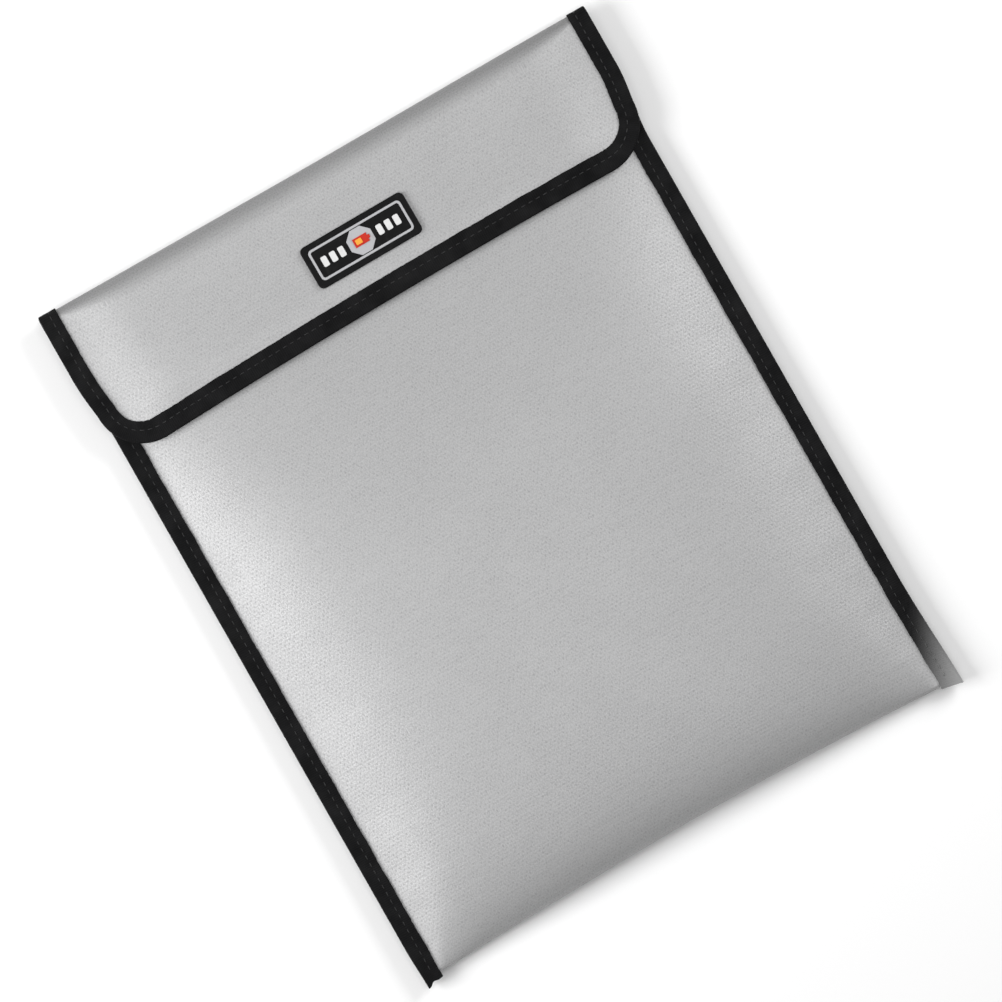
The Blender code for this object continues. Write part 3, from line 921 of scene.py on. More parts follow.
    def fold_point(self, x: float, degrees: float) -> Vector:
        """On the outside of the top fold: 0 at the back and 180 at the flap."""
        low = self.back_height(x, self.top_y)
        high = self.flap_height(x, self.top_tangent)
        reach = between((high - low) / 2, self.top_reach, self.crown(x, self.top_y))
        turn = math.radians(degrees)
        z = between(low, high, (1 - math.cos(turn)) / 2)
        lift = self.top_lift * (smooth_step(x, *self.top_lift_run) - self.top_lift_level)
        return Vector((x, self.top_y - reach + reach * math.sin(turn) + lift, z))

    def crease(self, y: float) -> float:
        """How strongly painted shade darkens the cloth round the top fold, from 0 to 1."""
        return 1 - smooth_step(self.top_y - y, -self.crease_over, self.crease_run)

    def share_point(self, share: float, degrees: float) -> Vector:
        """fold_point at a share of the way out to the cloth's edge."""
        return self.fold_point(share * self.sheet_edge(self.top_y), degrees)

    def slanted(self, x: float, y: float) -> float:
        """y with the slant and sag of the flap's front edge, which fade out to the top fold."""
        sag = self.flap_slant * x - self.flap_bow * x * x
        return y + sag * smooth_step(self.top_tangent - y, 0.0, self.slant_run)

    def flap_low(self, x: float) -> float:
        """Cut edge of the flap's cloth, with its rounded corners, before the slant."""
        straight = self.sheet_edge(self.flap_edge + self.flap_corner) - self.flap_corner
        past = min(max(abs(x) - straight, 0.0), self.flap_corner)
        return self.flap_edge + self.flap_corner - math.sqrt(self.flap_corner**2 - past**2)


# Mesh tools


class Sheet:
    """A sheet of points bent to a surface, with cloth coordinates, that becomes one thick mesh."""

    def __init__(self, name: str, rows: Sequence[Sequence[Placed]]) -> None:
        """Keeps the points.

        Args:
            name: the piece's name.
            rows: points with their cloth coordinates, in rows of equal length. Faces look towards
                the side from which the columns run to the right and the rows run up.
        """
        self.name = name
        self.rows = rows

    def build(self, thickness: float, finish: Finish, depth: float = 0.0) -> bpy.types.Object:
        """Makes the mesh.

        Args:
            thickness: of the cloth, inwards.
            finish: its surface finish.
            depth: how far in from the points its outer face lies.

        Returns:
            The new object.
        """
        wide = len(self.rows[0])
        points = [placed for row in self.rows for placed in row]
        faces = []
        for row in range(len(self.rows) - 1):
            start = row * wide
            for column in range(wide - 1):
                low = start + column
                faces.append((low, low + 1, low + wide + 1, low + wide))
        mesh = bpy.data.meshes.new(self.name)
        mesh.from_pydata([tuple(point) for point, _ in points], [], faces)
        if depth:
            normals = [vertex.normal.copy() for vertex in mesh.vertices]
            for vertex, normal in zip(mesh.vertices, normals):
                vertex.co = vertex.co - normal * depth
        return laid_out(mesh, points, finish, thickness=thickness)


def laid_out(
    mesh: bpy.types.Mesh,
    placed: Sequence[Placed],
    finish: Finish,
    sharp: float = 50.0,
    thickness: float = 0.0,
) -> bpy.types.Object:
    """Turns a mesh into a finished piece with cloth coordinates.

    Args:
        mesh: the mesh, which gives the piece its name.
        placed: its points with their cloth coordinates.
        finish: its surface finish.
        sharp: edges that turn more than this many degrees stay sharp.
        thickness: that a sheet gets, inwards.

    Returns:
        The piece.
    """
    coordinates = mesh.attributes.new("cloth", "FLOAT_VECTOR", "POINT")
    for item, (_, place) in zip(coordinates.data, placed):
        item.vector = place
    piece = bpy.data.objects.new(mesh.name, mesh)
    bpy.context.scene.collection.objects.link(piece)
    if thickness:
        solid = piece.modifiers.new("thickness", "SOLIDIFY")
        solid.thickness = thickness
        solid.offset = -1
    return finished(piece, finish, sharp)


def finished(piece: bpy.types.Object, finish: Finish, sharp: float = 50.0) -> bpy.types.Object:
    """Applies a piece's modifiers, smooths it and gives it its finish.

    Args:
        piece: the object.
        finish: its surface finish.
        sharp: edges that turn more than this many degrees stay sharp.

    Returns:
        The same object.
    """
    graph = bpy.context.evaluated_depsgraph_get()
    mesh = bpy.data.meshes.new_from_object(piece.evaluated_get(graph))
    mesh.name = piece.name
    if piece.type == "CURVE":
        name = piece.name
        solid = bpy.data.objects.new(name + "_solid", mesh)
        solid.matrix_world = piece.matrix_world.copy()
        bpy.context.scene.collection.objects.link(solid)
        bpy.data.objects.remove(piece)
        solid.name = name
        piece = solid
    else:
        piece.modifiers.clear()
        piece.data = mesh
    mesh.materials.clear()
    mesh.materials.append(finish.material())
    mesh.shade_smooth()
    mesh.set_sharp_from_angle(angle=math.radians(sharp))
    LOG.info("%s: %d faces, %s", piece.name, len(mesh.polygons), finish.name)
    return piece


@dataclass(frozen=True)
class Edge:
    """One place along a bound edge.

    Attributes:
        point: on the cloth's outer side, at its cut edge.
        out: the way that the cloth's outer side looks.
        inwards: from the edge into the cloth.
        stack: thickness of cloth that the tape holds.
        lift: gives the height of the cloth's outer side where the edge is laid out on the level.
        reach_share: how much of the tape's full cover its leaves have here.
    """

    point: Vector
    out: Vector
    inwards: Vector
    stack: float
    lift: Height | None = None
    reach_share: float = 1.0

    def at(self, reach: float, offset: float) -> Vector:
        """A point beside the edge.

        Args:
            reach: how far into the cloth.
            offset: how far out from the cloth's outer side.

        Returns:
            The point.
        """
        place = self.point + self.inwards * reach
        if self.lift:
            return Vector((place.x, place.y, self.lift(place.x, place.y) + offset))
        return place + self.out * offset


@dataclass
class BoundEdge:
    """A run of folded tape, sewn with one row of stitches.

    Attributes:
        name: the tape's piece name.
        edges: places along the run, close together.
        cover: how far the tape's leaves reach in from its outer edge.
        thickness: of the tape.
        hug: gap between cloth and tape.
        inset: of the stitches from the leaves' inner edge.
        pitch: of the stitches.
        groove_width: of the dip that the stitches pull in.
        groove_depth: of the same dip.
        wander: how far the woven edge strays, in long waves and in short ones.
        wander_size: length of those waves.
        shape_end: moves points to shape a cut end, where there is one.
        pale: how strongly painted glare lightens the tape at a point, from 0 to 1.
        along: distances of the edges along the run, measured from them.
    """

    name: str
    edges: list[Edge]
    cover: float = 0.0071
    thickness: float = 0.00055
    hug: float = 0.00012
    inset: float = 0.0031
    pitch: float = 0.0032
    groove_width: float = 0.00085
    groove_depth: float = 0.00016
    wander: tuple[float, float] = (0.00022, 0.00019)
    wander_size: tuple[float, float] = (0.009, 0.0014)
    shape_end: Callable[[Vector], Vector] = lambda point: point
    pale: Callable[[Vector], float] = lambda point: 0.0
    along: list[float] = field(default_factory=list)

    LEAF_SHARES = (1.0, 0.985, 0.9, 0.8, 0.72, 0.66, 0.6, 0.54, 0.46, 0.34, 0.2, 0.08)
    FOLD_STEPS = 8

    def __post_init__(self) -> None:
        """Measures the run."""
        self.along = [0.0]
        for before, after in zip(self.edges, self.edges[1:]):
            self.along.append(self.along[-1] + (after.at(0, 0) - before.at(0, 0)).length)

    @property
    def stitch_reach(self) -> float:
        """From the cloth's cut edge to the stitches."""
        return self.cover - self.inset

    def _groove(self, reach: float, s: float) -> float:
        """How deep the stitches pull the tape in at a place on a leaf."""
        away = (reach - self.stitch_reach) / self.groove_width
        pull = 0.75 - 0.25 * math.cos(2 * math.pi * s / self.pitch)
        return self.groove_depth * math.exp(-away * away) * pull

    def _fray(self, s: float, leaf: Leaf) -> float:
        """How far a leaf's woven edge wanders."""
        seed = 3.0 + leaf.value
        slow = self.wander[0] * wave(s, 0.0, self.wander_size[0], seed)
        return slow + self.wander[1] * wave(s, 0.0, self.wander_size[1], seed + 5)

    def _leaf_place(self, edge: Edge, s: float, share: float, leaf: Leaf) -> tuple[float, float]:
        """How far in a point of a leaf lies, and how far out from the cloth."""
        fray = self._fray(s, leaf) * smooth_step(share, 0.8, 1.0)
        reach = (self.cover * edge.reach_share + fray) * share
        offset = self.hug + self.thickness - self._groove(reach / edge.reach_share, s)
        if share == 1.0:
            offset -= self.thickness * 0.3
        return reach, offset

    def _profile(self, edge: Edge, s: float) -> list[tuple[Vector, float]]:
        """Points round the tape at one place, with the distance across it."""
        points = []
        for share in self.LEAF_SHARES:
            reach, offset = self._leaf_place(edge, s, share, Leaf.OUTER)
            points.append((edge.at(reach, offset), -reach))
        outside = self.hug + self.thickness
        centre = edge.stack / 2
        half = centre + outside
        for turn in steps(0, math.pi, self.FOLD_STEPS):
            bulge = outside * 0.9 * math.sin(turn)
            place = edge.at(-bulge, half * math.cos(turn) - centre)
            points.append((place, (turn - math.pi / 2) * half * 0.6))
        for share in reversed(self.LEAF_SHARES):
            reach, offset = self._leaf_place(edge, s, share, Leaf.INNER)
            points.append((edge.at(reach, -edge.stack - offset), reach))
        return points

    def build(self, finish: Finish, turned: bool) -> bpy.types.Object:
        """Makes the tape.

        Args:
            finish: its surface finish.
            turned: whether the run goes the other way round, so that its faces look outwards.

        Returns:
            The tape.
        """
        rows = []
        for edge, s in zip(self.edges, self.along):
            row = []
            for point, across in self._profile(edge, s):
                # the third cloth coordinate carries the painted glare
                row.append((self.shape_end(point), (s, across, self.pale(point))))
            rows.append(row[::-1] if turned else row)
        return Sheet(self.name, rows).build(self.thickness, finish)

    def stitch_line(self, leaf: Leaf, first: float = 0.0, last: float = 1.0) -> Line:
        """The line that the stitches follow on a leaf.

        Args:
            leaf: which leaf.
            first: where the line starts, as a share of the run.
            last: where it ends.

        Returns:
            Points on the leaf with the way out of it.
        """
        end = self.along[-1]
        line = []
        for edge, s in zip(self.edges, self.along):
            if first * end <= s <= last * end:
                offset = self.hug + self.thickness - self._groove(self.stitch_reach, s)
                reach = self.stitch_reach * edge.reach_share
                if leaf is Leaf.INNER:
                    offset = -edge.stack - offset
                line.append((self.shape_end(edge.at(reach, offset)), edge.out * -leaf.value))
        return line


@dataclass
class StitchRow:
    """A row of lockstitches along a line.

    Attributes:
        name: the row's piece name.
        line: points on the surface with the way out of it.
        pitch: of the stitches.
        lead: from a stitch's place to where its thread comes up, as a share of the pitch.
        cover: length of thread that shows, as a share of the pitch.
        radius: of the thread.
        sway: how far the thread strays to its sides.
        rings: steps along a stitch.
        sides: steps round it.
        closed: whether the line runs round to its start.
        pale: how strongly painted glare lightens the thread at a point, from 0 to 1.
    """

    name: str
    line: Line
    pitch: float = 0.0032
    lead: float = 0.2
    cover: float = 0.6
    radius: float = 0.00021
    sway: float = 0.00006
    rings: int = 7
    sides: int = 7
    closed: bool = False
    pale: Callable[[Vector], float] = lambda point: 0.0

    def build(self, finish: Finish) -> bpy.types.Object:
        """Makes the row as one mesh of short arched threads.

        Args:
            finish: its surface finish.

        Returns:
            The row.
        """
        line = self.line + self.line[:1] if self.closed else self.line
        along = [0.0]
        for (before, _), (after, _) in zip(line, line[1:]):
            along.append(along[-1] + (after - before).length)
        count = max(1, int(along[-1] / self.pitch))
        pitch = along[-1] / count
        placed: list[Placed] = []
        faces: list[tuple[int, ...]] = []
        cursor = 0
        for index in range(count):
            faces += self._faces(len(placed))
            for ring in range(self.rings + 1):
                share = ring / self.rings
                s = (index + self.lead) * pitch + share * (pitch * self.cover)
                while cursor < len(along) - 2 and along[cursor + 1] < s:
                    cursor += 1
                sway = self.sway * wave((index + self.lead) * pitch, 0.0, 0.004, 11.0)
                length = max(along[cursor + 1] - along[cursor], 1e-9)
                part = (s - along[cursor]) / length
                placed += self._ring(line[cursor : cursor + 2], part, s, share, sway)
        mesh = bpy.data.meshes.new(self.name)
        mesh.from_pydata([tuple(point) for point, _ in placed], [], faces)
        return laid_out(mesh, placed, finish, 80.0)

    def _ring(
        self, span: Line, part: float, s: float, share: float, sway: float
    ) -> list[Placed]:
        """Points round the thread at one place.

        Args:
            span: the two points of the line that the place lies between.
            part: how far between them.
            s: the place's distance along the line.
            share: how far along its stitch.
            sway: how far the thread strays to its side.

        Returns:
            The points with their cloth coordinates.
        """
        (here, up_here), (there, up_there) = span
        up = up_here.lerp(up_there, part).normalized()
        aside = up.cross((there - here).normalized()).normalized()
        arch = math.sin(math.pi * share) ** 0.5
        height = self.radius * (1.15 * arch - 0.75)
        middle = here.lerp(there, part) + up * height + aside * sway
        radius = self.radius * (0.72 + 0.28 * arch)
        placed = []
        for side in range(self.sides):
            turn = 2 * math.pi * side / self.sides
            point = middle + (aside * math.cos(turn) + up * math.sin(turn)) * radius
            # the third cloth coordinate carries the painted glare
            placed.append((point, (s, turn, self.pale(middle))))
        return placed

    def _faces(self, base: int) -> list[tuple[int, ...]]:
        """Faces of one stitch whose first point has the number base."""
        faces: list[tuple[int, ...]] = []
        for ring in range(self.rings):
            for side in range(self.sides):
                low = base + ring * self.sides + side
                near = base + ring * self.sides + (side + 1) % self.sides
                faces.append((low, near, near + self.sides, low + self.sides))
        end = base + self.rings * self.sides
        faces.append(tuple(base + side for side in reversed(range(self.sides))))
        faces.append(tuple(end + side for side in range(self.sides)))
        return faces


# Sub-assemblies


@dataclass
class SubAssembly:
    """A group of pieces that shares the bag's form and finishes.

    Attributes:
        form: the bag's sizes and surfaces.
        finishes: its surface finishes.
    """

    form: BagForm
    finishes: Finishes

    def hang(self, piece: bpy.types.Object, body: Body, *nodes: str) -> bpy.types.Object:
        """Lets a piece ride on a body in place of CAD nodes."""
        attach(piece, body.value)
        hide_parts(*nodes)
        return piece

    def bend_low(self, piece: bpy.types.Object, *nodes: str) -> bpy.types.Object:
        """Bakes the placement of a piece that runs from the pocket into the top fold, in place of
        CAD nodes.
        """
        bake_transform(piece)
        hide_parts(*nodes)
        return piece

    def bend_high(self, piece: bpy.types.Object, *nodes: str) -> bpy.types.Object:
        """Bakes the placement of a piece that runs from the top fold into the flap, in place of CAD
        nodes.
        """
        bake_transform(piece)
        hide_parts(*nodes)
        return piece

    def columns(self, count: int = 34) -> list[float]:
        """Shares of the way out to the cloth's edge, closer together near the seams."""
        return [math.sin(math.pi / 2 * value) for value in steps(-1, 1, 2 * count)]


@dataclass
class Pocket(SubAssembly):
    """The pocket: front, back and their linings.

    Attributes:
        cloth: thickness of the outer cloth.
        lining: thickness of the lining.
        lining_depth: from the outer face to the lining.
        ripple: height of the soft waves in the front.
        ripple_size: of those waves.
        gather: height of the small gathers beside the side seams.
        gather_size: length of a gather along the seam.
        gather_reach: how quickly the gathers fade out from the seam.
        flap_cover: where the relief ends under the flap.
        bottom_ease: from the bottom fold to where the relief is full.
        under: how far under the bottom fold the cloth's measure starts.
    """

    cloth: float = 0.0005
    lining: float = 0.0004
    lining_depth: float = 0.00062
    ripple: float = 0.00042
    ripple_size: float = 0.055
    gather: float = 0.00035
    gather_size: float = 0.011
    gather_reach: float = 0.009
    flap_cover: tuple[float, float] = (0.070, 0.085)
    bottom_ease: float = 0.02
    under: float = 0.022

    def _relief(self, x: float, y: float) -> float:
        """Soft waves and the small gathers beside the side seams."""
        form = self.form
        crown = form.crown(x, y)
        bare = 1 - smooth_step(y, *self.flap_cover)
        soft = wave(x, y * 0.7, self.ripple_size, 1.0) * self.ripple * min(crown * 2.0, 1.0)
        seam = form.seam_inner(y) - abs(x)
        gather = math.exp(-max(seam, 0.0) / self.gather_reach) * smooth_step(seam, 0.0, 0.003)
        gather *= wave(0.0, y + (0.5 if x > 0 else 0.0), self.gather_size, 2.0) * self.gather
        ease = smooth_step(y, form.bottom_y, form.bottom_y + self.bottom_ease)
        return (soft * ease + gather * ease) * bare

    def _front(self) -> list[list[Placed]]:
        """Rows of the front, from under the bottom fold to the mouth."""
        form = self.form
        under = steps(-1, 0, 8)[:-1]
        over = [share**1.7 for share in steps(0, 1, 84)]
        rows: list[list[Placed]] = []
        v = form.bottom_y - self.under
        last: Vector | None = None
        for row in under + over:
            middle = form.front_point(0.0, row)
            v += (middle - last).length if last else 0.0
            last = middle
            placed = []
            for share in self.columns():
                point = form.front_point(share, row)
                if row > 0:
                    point.z += self._relief(point.x, point.y)
                placed.append((point, (point.x, v, 0.0)))
            rows.append(placed)
        return rows

    def _back(self) -> list[list[Placed]]:
        """Rows of the back, from the bottom fold to halfway round the top fold."""
        form = self.form
        shares = [0.0, 0.01, 0.02, 0.04, 0.07] + steps(0.1, 1, 44)
        rows: list[list[Placed]] = []
        for row in shares:
            placed = []
            for share in self.columns():
                low = form.front_point(share, -1)
                high = form.share_point(share, 0)
                y = between(low.y, high.y, row)
                x = share * form.sheet_edge(y)
                v = form.top_y + (form.top_tangent - y) * -1 + 2 * form.quarter_turn
                placed.append((Vector((x, y, form.back_height(x, y))), (x, -v, 0.0)))
            rows.append(placed[::-1])
        for turn in steps(0, 90, 12)[1:]:
            placed = []
            for share in self.columns():
                point = form.share_point(share, turn)
                v = form.top_y + form.quarter_turn * (2 - turn / 90)
                # the third cloth coordinate carries the painted shade round the top fold
                placed.append((point, (point.x, -v, form.crease(point.y))))
            rows.append(placed[::-1])
        return rows

    def build(self) -> None:
        """Makes the pocket's four cloth pieces."""
        front, back = self._front(), self._back()
        finishes = self.finishes
        depth = self.lining_depth
        panel = Sheet("pocket_front", front).build(self.cloth, finishes.cloth)
        self.hang(panel, Body.POCKET, "front_panel")
        lining = Sheet("pocket_front_lining", front).build(self.lining, finishes.lining, depth)
        self.hang(lining, Body.POCKET, "front_lining")
        panel = Sheet("pocket_back", back).build(self.cloth, finishes.cloth)
        self.bend_low(panel, "back_panel", "fold_panel")
        lining = Sheet("pocket_back_lining", back).build(self.lining, finishes.lining, depth)
        self.bend_low(lining, "back_lining", "fold_lining")


@dataclass
class Binding(SubAssembly):
    """The folded tapes and their stitches, round every edge of the bag.

    Attributes:
        end_run: length of the shaped cut end of a side tape.
        end_slant: how far that end slants out to its corner.
        end_drop: how far the left end stands out past its plain cut.
        notch: depth of the notch in the left end.
        notch_at: place of the notch, as a share of the tape's width.
        notch_width: of the notch, as a share of the tape's width.
        splay: how far the right tape turns outwards.
        splay_run: how far up from its cut end it does.
        step: between places along a tape.
        glare_run: how far up from its cut end the right tape carries painted glare.
        side_share: how much of its full cover the flap's tape has along the flap's sides.
        mouth_clear: from the side seams to the ends of the mouth's tape.
        flap_cover: from the flap tape's outer edge to its inner edge.
        flap_inset: from that inner edge to the stitches.
    """

    end_run: float = 0.016
    end_slant: float = 0.0019
    end_drop: float = 0.0012
    notch: float = 0.0009
    notch_at: float = 0.45
    notch_width: float = 0.16
    splay: float = 0.0019
    splay_run: float = 0.052
    step: float = 0.0008
    glare_run: float = 0.038
    side_share: float = 0.87
    mouth_clear: float = 0.0075
    flap_cover: float = 0.0082
    flap_inset: float = 0.0036

    def _seam(self, side: Side, y: float) -> Edge:
        """A place on a side seam, where the tape's outer leaf is underneath."""
        form = self.form
        held = smooth_step(y, form.mouth_y, form.mouth_y + 0.003)
        stack = between(form.seam_stack, form.sheet_pair, held)
        point = Vector((side.value * form.sheet_edge(y), y, form.seam_back))
        return Edge(point, Vector((0, 0, -1)), Vector((-side.value, 0, 0)), stack)

    def _fold(self, side: Side, degrees: float, share: float = 1.0) -> Edge:
        """A place on the top fold, where the tape's outer leaf is outside."""
        form = self.form
        x = side.value * form.sheet_edge(form.top_y)
        ahead = form.fold_point(x, degrees + 0.5) - form.fold_point(x, degrees - 0.5)
        out = Vector((0, ahead.z, -ahead.y)).normalized()
        inwards = Vector((-side.value, 0, 0))
        return Edge(form.fold_point(x, degrees), out, inwards, form.sheet_pair, None, share)

    def _side_edges(self, side: Side) -> list[Edge]:
        """From the cut end at the bottom to halfway round the top fold."""
        form = self.form
        top = form.fold_point(form.sheet_edge(form.top_y), 0).y
        count = int((top - form.bottom_y) / self.step)
        straight = [self._seam(side, y) for y in steps(form.bottom_y, top, count)[:-1]]
        return straight + [self._fold(side, turn) for turn in steps(0, 90, 10)]

    def _end_place(self, side: Side, point: Vector) -> tuple[float, float, float]:
        """Where a point lies on a side tape's cut end.

        Args:
            side: which tape.
            point: a point of the tape.

        Returns:
            How far in from the tape's outer edge it lies, the same as a share of the tape's
            width, and how near the cut it is, from 0 to 1.
        """
        form = self.form
        inside = form.half_width(form.bottom_y) - side.value * point.x
        share = min(max(inside / form.tape_cover, 0.0), 1.0)
        near = 1 - smooth_step(point.y, form.bottom_y, form.bottom_y + self.end_run)
        return inside, share, near

    def _shape_end(self, side: Side) -> Callable[[Vector], Vector]:
        """Shapes a side tape's cut end: notched on the left, and splayed on the right."""
        form = self.form

        def left(point: Vector) -> Vector:
            """Slants the cut out to its corner, with a small notch beside it."""
            inside, share, near = self._end_place(side, point)
            notch = self.notch * math.exp(-(((share - self.notch_at) / self.notch_width) ** 2))
            drop = (self.end_slant * share + notch - self.end_drop) * near
            tuck = 0.0006 * smooth_step(inside, 0.0035, 0.0008) * near
            return point + Vector((tuck, drop, 0))

        def right(point: Vector) -> Vector:
            """Turns the tape outwards, and slants its cut."""
            _, share, near = self._end_place(side, point)
            end = form.bottom_y
            splay = (1 - smooth_step(point.y, end - 0.004, end + self.splay_run)) ** 1.3
            aside = self.splay * (1 - share * 0.55) * splay
            return point + Vector((aside, self.end_slant * near * share, 0))

        return left if side is Side.LEFT else right

    def _painted_glare(self, side: Side) -> Callable[[Vector], float]:
        """Paints glare on the right tape, lightening it towards its cut end."""
        form = self.form

        def faded(point: Vector) -> float:
            """How strongly the painted glare lightens the tape at a point, most along its outer
            edge.
            """
            if side is Side.LEFT:
                return 0.0
            inside = form.half_width(point.y) - point.x
            share = min(max(inside / form.tape_cover, 0.0), 1.0)
            run = self.glare_run * (1.15 - 0.4 * share)
            end = form.bottom_y
            near = (1 - smooth_step(point.y, end - 0.006, end + run)) ** 1.3
            return near * (1.1 - 0.6 * share)

        return faded

    def _build_sides(self) -> None:
        """Makes the two side tapes and their stitches, above and below."""
        for side in Side:
            name, shape = f"side_tape_{side.word}", self._shape_end(side)
            # the right tape and its stitches get painted glare towards the tape's cut end
            run = BoundEdge(name, self._side_edges(side), shape_end=shape, pale=self._painted_glare(side))
            tape = run.build(self.finishes.tape, side is Side.RIGHT)
            self.bend_low(tape, f"side_binding_{side.word}", f"fold_binding_{side.word}")
            last = (self.form.mouth_y - self.form.bottom_y) / run.along[-1]
            above = run.stitch_line(Leaf.INNER, 0.012, last)
            row = StitchRow(f"side_stitches_{side.word}", above, pale=run.pale)
            made = row.build(self.finishes.thread)
            self.hang(made, Body.POCKET, f"side_thread_{side.word}")
            below = run.stitch_line(Leaf.OUTER, 0.012)
            row = StitchRow(f"side_stitches_under_{side.word}", below, pale=run.pale)
            made = row.build(self.finishes.thread)
            self.bend_low(made, f"side_bobbin_thread_{side.word}", f"fold_thread_{side.word}")

    def _mouth_lift(self, x: float, y: float) -> float:
        """Height of the pocket's front under the mouth's tape."""
        return self.form.front_height(x, min(y, self.form.mouth_y))

    def _build_mouth(self) -> None:
        """Makes the tape and stitches of the pocket's mouth."""
        form = self.form
        reach = form.seam_inner(form.mouth_y) - self.mouth_clear
        up, inwards = Vector((0, 0, 1)), Vector((0, -1, 0))
        edges = []
        for x in steps(-reach, reach, 150):
            point = Vector((x, form.mouth_y, 0.0))
            edges.append(Edge(point, up, inwards, form.sheet_pair, self._mouth_lift))
        run = BoundEdge("mouth_tape", edges)
        self.hang(run.build(self.finishes.tape, True), Body.POCKET, "mouth_binding")
        over = run.stitch_line(Leaf.OUTER, 0.02, 0.98)
        row = StitchRow("mouth_stitches", over).build(self.finishes.thread)
        self.hang(row, Body.POCKET, "mouth_thread")
        under = run.stitch_line(Leaf.INNER, 0.02, 0.98)
        row = StitchRow("mouth_stitches_under", under).build(self.finishes.thread)
        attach(row, Body.POCKET.value)

    def _flap_lift(self, x: float, y: float) -> float:
        """Height of the flap's outside under its tape."""
        form = self.form
        edge = form.sheet_edge(y)
        x = min(max(x, -edge), edge)
        low = form.slanted(x, form.flap_low(x))
        return form.flap_height(x, min(max(y, low), form.top_tangent))

    def _flap_outline(self) -> list[Vector]:
        """The flap's cut edge on the level, from its left end at the top fold to its right."""
        whole = self._half_outline(Side.LEFT) + self._half_outline(Side.RIGHT)[-2::-1]
        return [Vector((point.x, self.form.slanted(point.x, point.y), 0.0)) for point in whole]

    def _half_outline(self, side: Side) -> list[Vector]:
        """One side of the flap's cut edge, from the top fold to the middle of its front."""
        form = self.form
        top = form.fold_point(side.value * form.sheet_edge(form.top_y), 180).y
        corner_y = form.flap_edge + form.flap_corner
        count = int((top - corner_y) / self.step)
        half = [Vector((form.sheet_edge(y), y, 0.0)) for y in steps(top, corner_y, count)[:-1]]
        edge = form.sheet_edge(corner_y)
        for turn in steps(0, math.pi / 2, 44):
            x = edge - form.flap_corner * (1 - math.cos(turn))
            half.append(Vector((x, corner_y - form.flap_corner * math.sin(turn), 0.0)))
        count = int(half[-1].x / self.step)
        half += [Vector((x, form.flap_edge, 0.0)) for x in steps(half[-1].x, 0.0, count)[1:]]
        return [Vector((side.value * point.x, point.y, 0.0)) for point in half]

    def _flap_edges(self) -> list[Edge]:
        """Round the flap, from halfway round the top fold on the left to the same on the right."""
        form = self.form
        outline = self._flap_outline()
        up = Vector((0, 0, 1))
        laid = []
        for index, point in enumerate(outline):
            before = outline[max(index - 1, 0)]
            after = outline[min(index + 1, len(outline) - 1)]
            ahead = (after - before).normalized()
            inwards = Vector((-ahead.y, ahead.x, 0.0))
            share = between(1.0, self.side_share, abs(ahead.y) ** 1.5)
            laid.append(Edge(point, up, inwards, form.sheet_pair, self._flap_lift, share))
        turns = steps(90, 180, 10)[:-1]
        left = [self._fold(Side.LEFT, turn, self.side_share) for turn in turns]
        right = [self._fold(Side.RIGHT, turn, self.side_share) for turn in turns]
        return left + laid + right[::-1]

    def _build_flap(self) -> None:
        """Makes the tape round the flap and its stitches on both sides."""
        edges, cover, inset = self._flap_edges(), self.flap_cover, self.flap_inset
        run = BoundEdge("flap_tape", edges, cover=cover, inset=inset)
        self.bend_high(run.build(self.finishes.tape, False), "flap_binding")
        row = StitchRow("flap_stitches", run.stitch_line(Leaf.OUTER)).build(self.finishes.thread)
        self.bend_high(row, "flap_thread")
        under = run.stitch_line(Leaf.INNER)
        row = StitchRow("flap_stitches_under", under).build(self.finishes.thread)
        self.bend_high(row)

    def build(self) -> None:
        """Makes every tape and its stitches."""
        self._build_sides()
        self._build_mouth()
        self._build_flap()


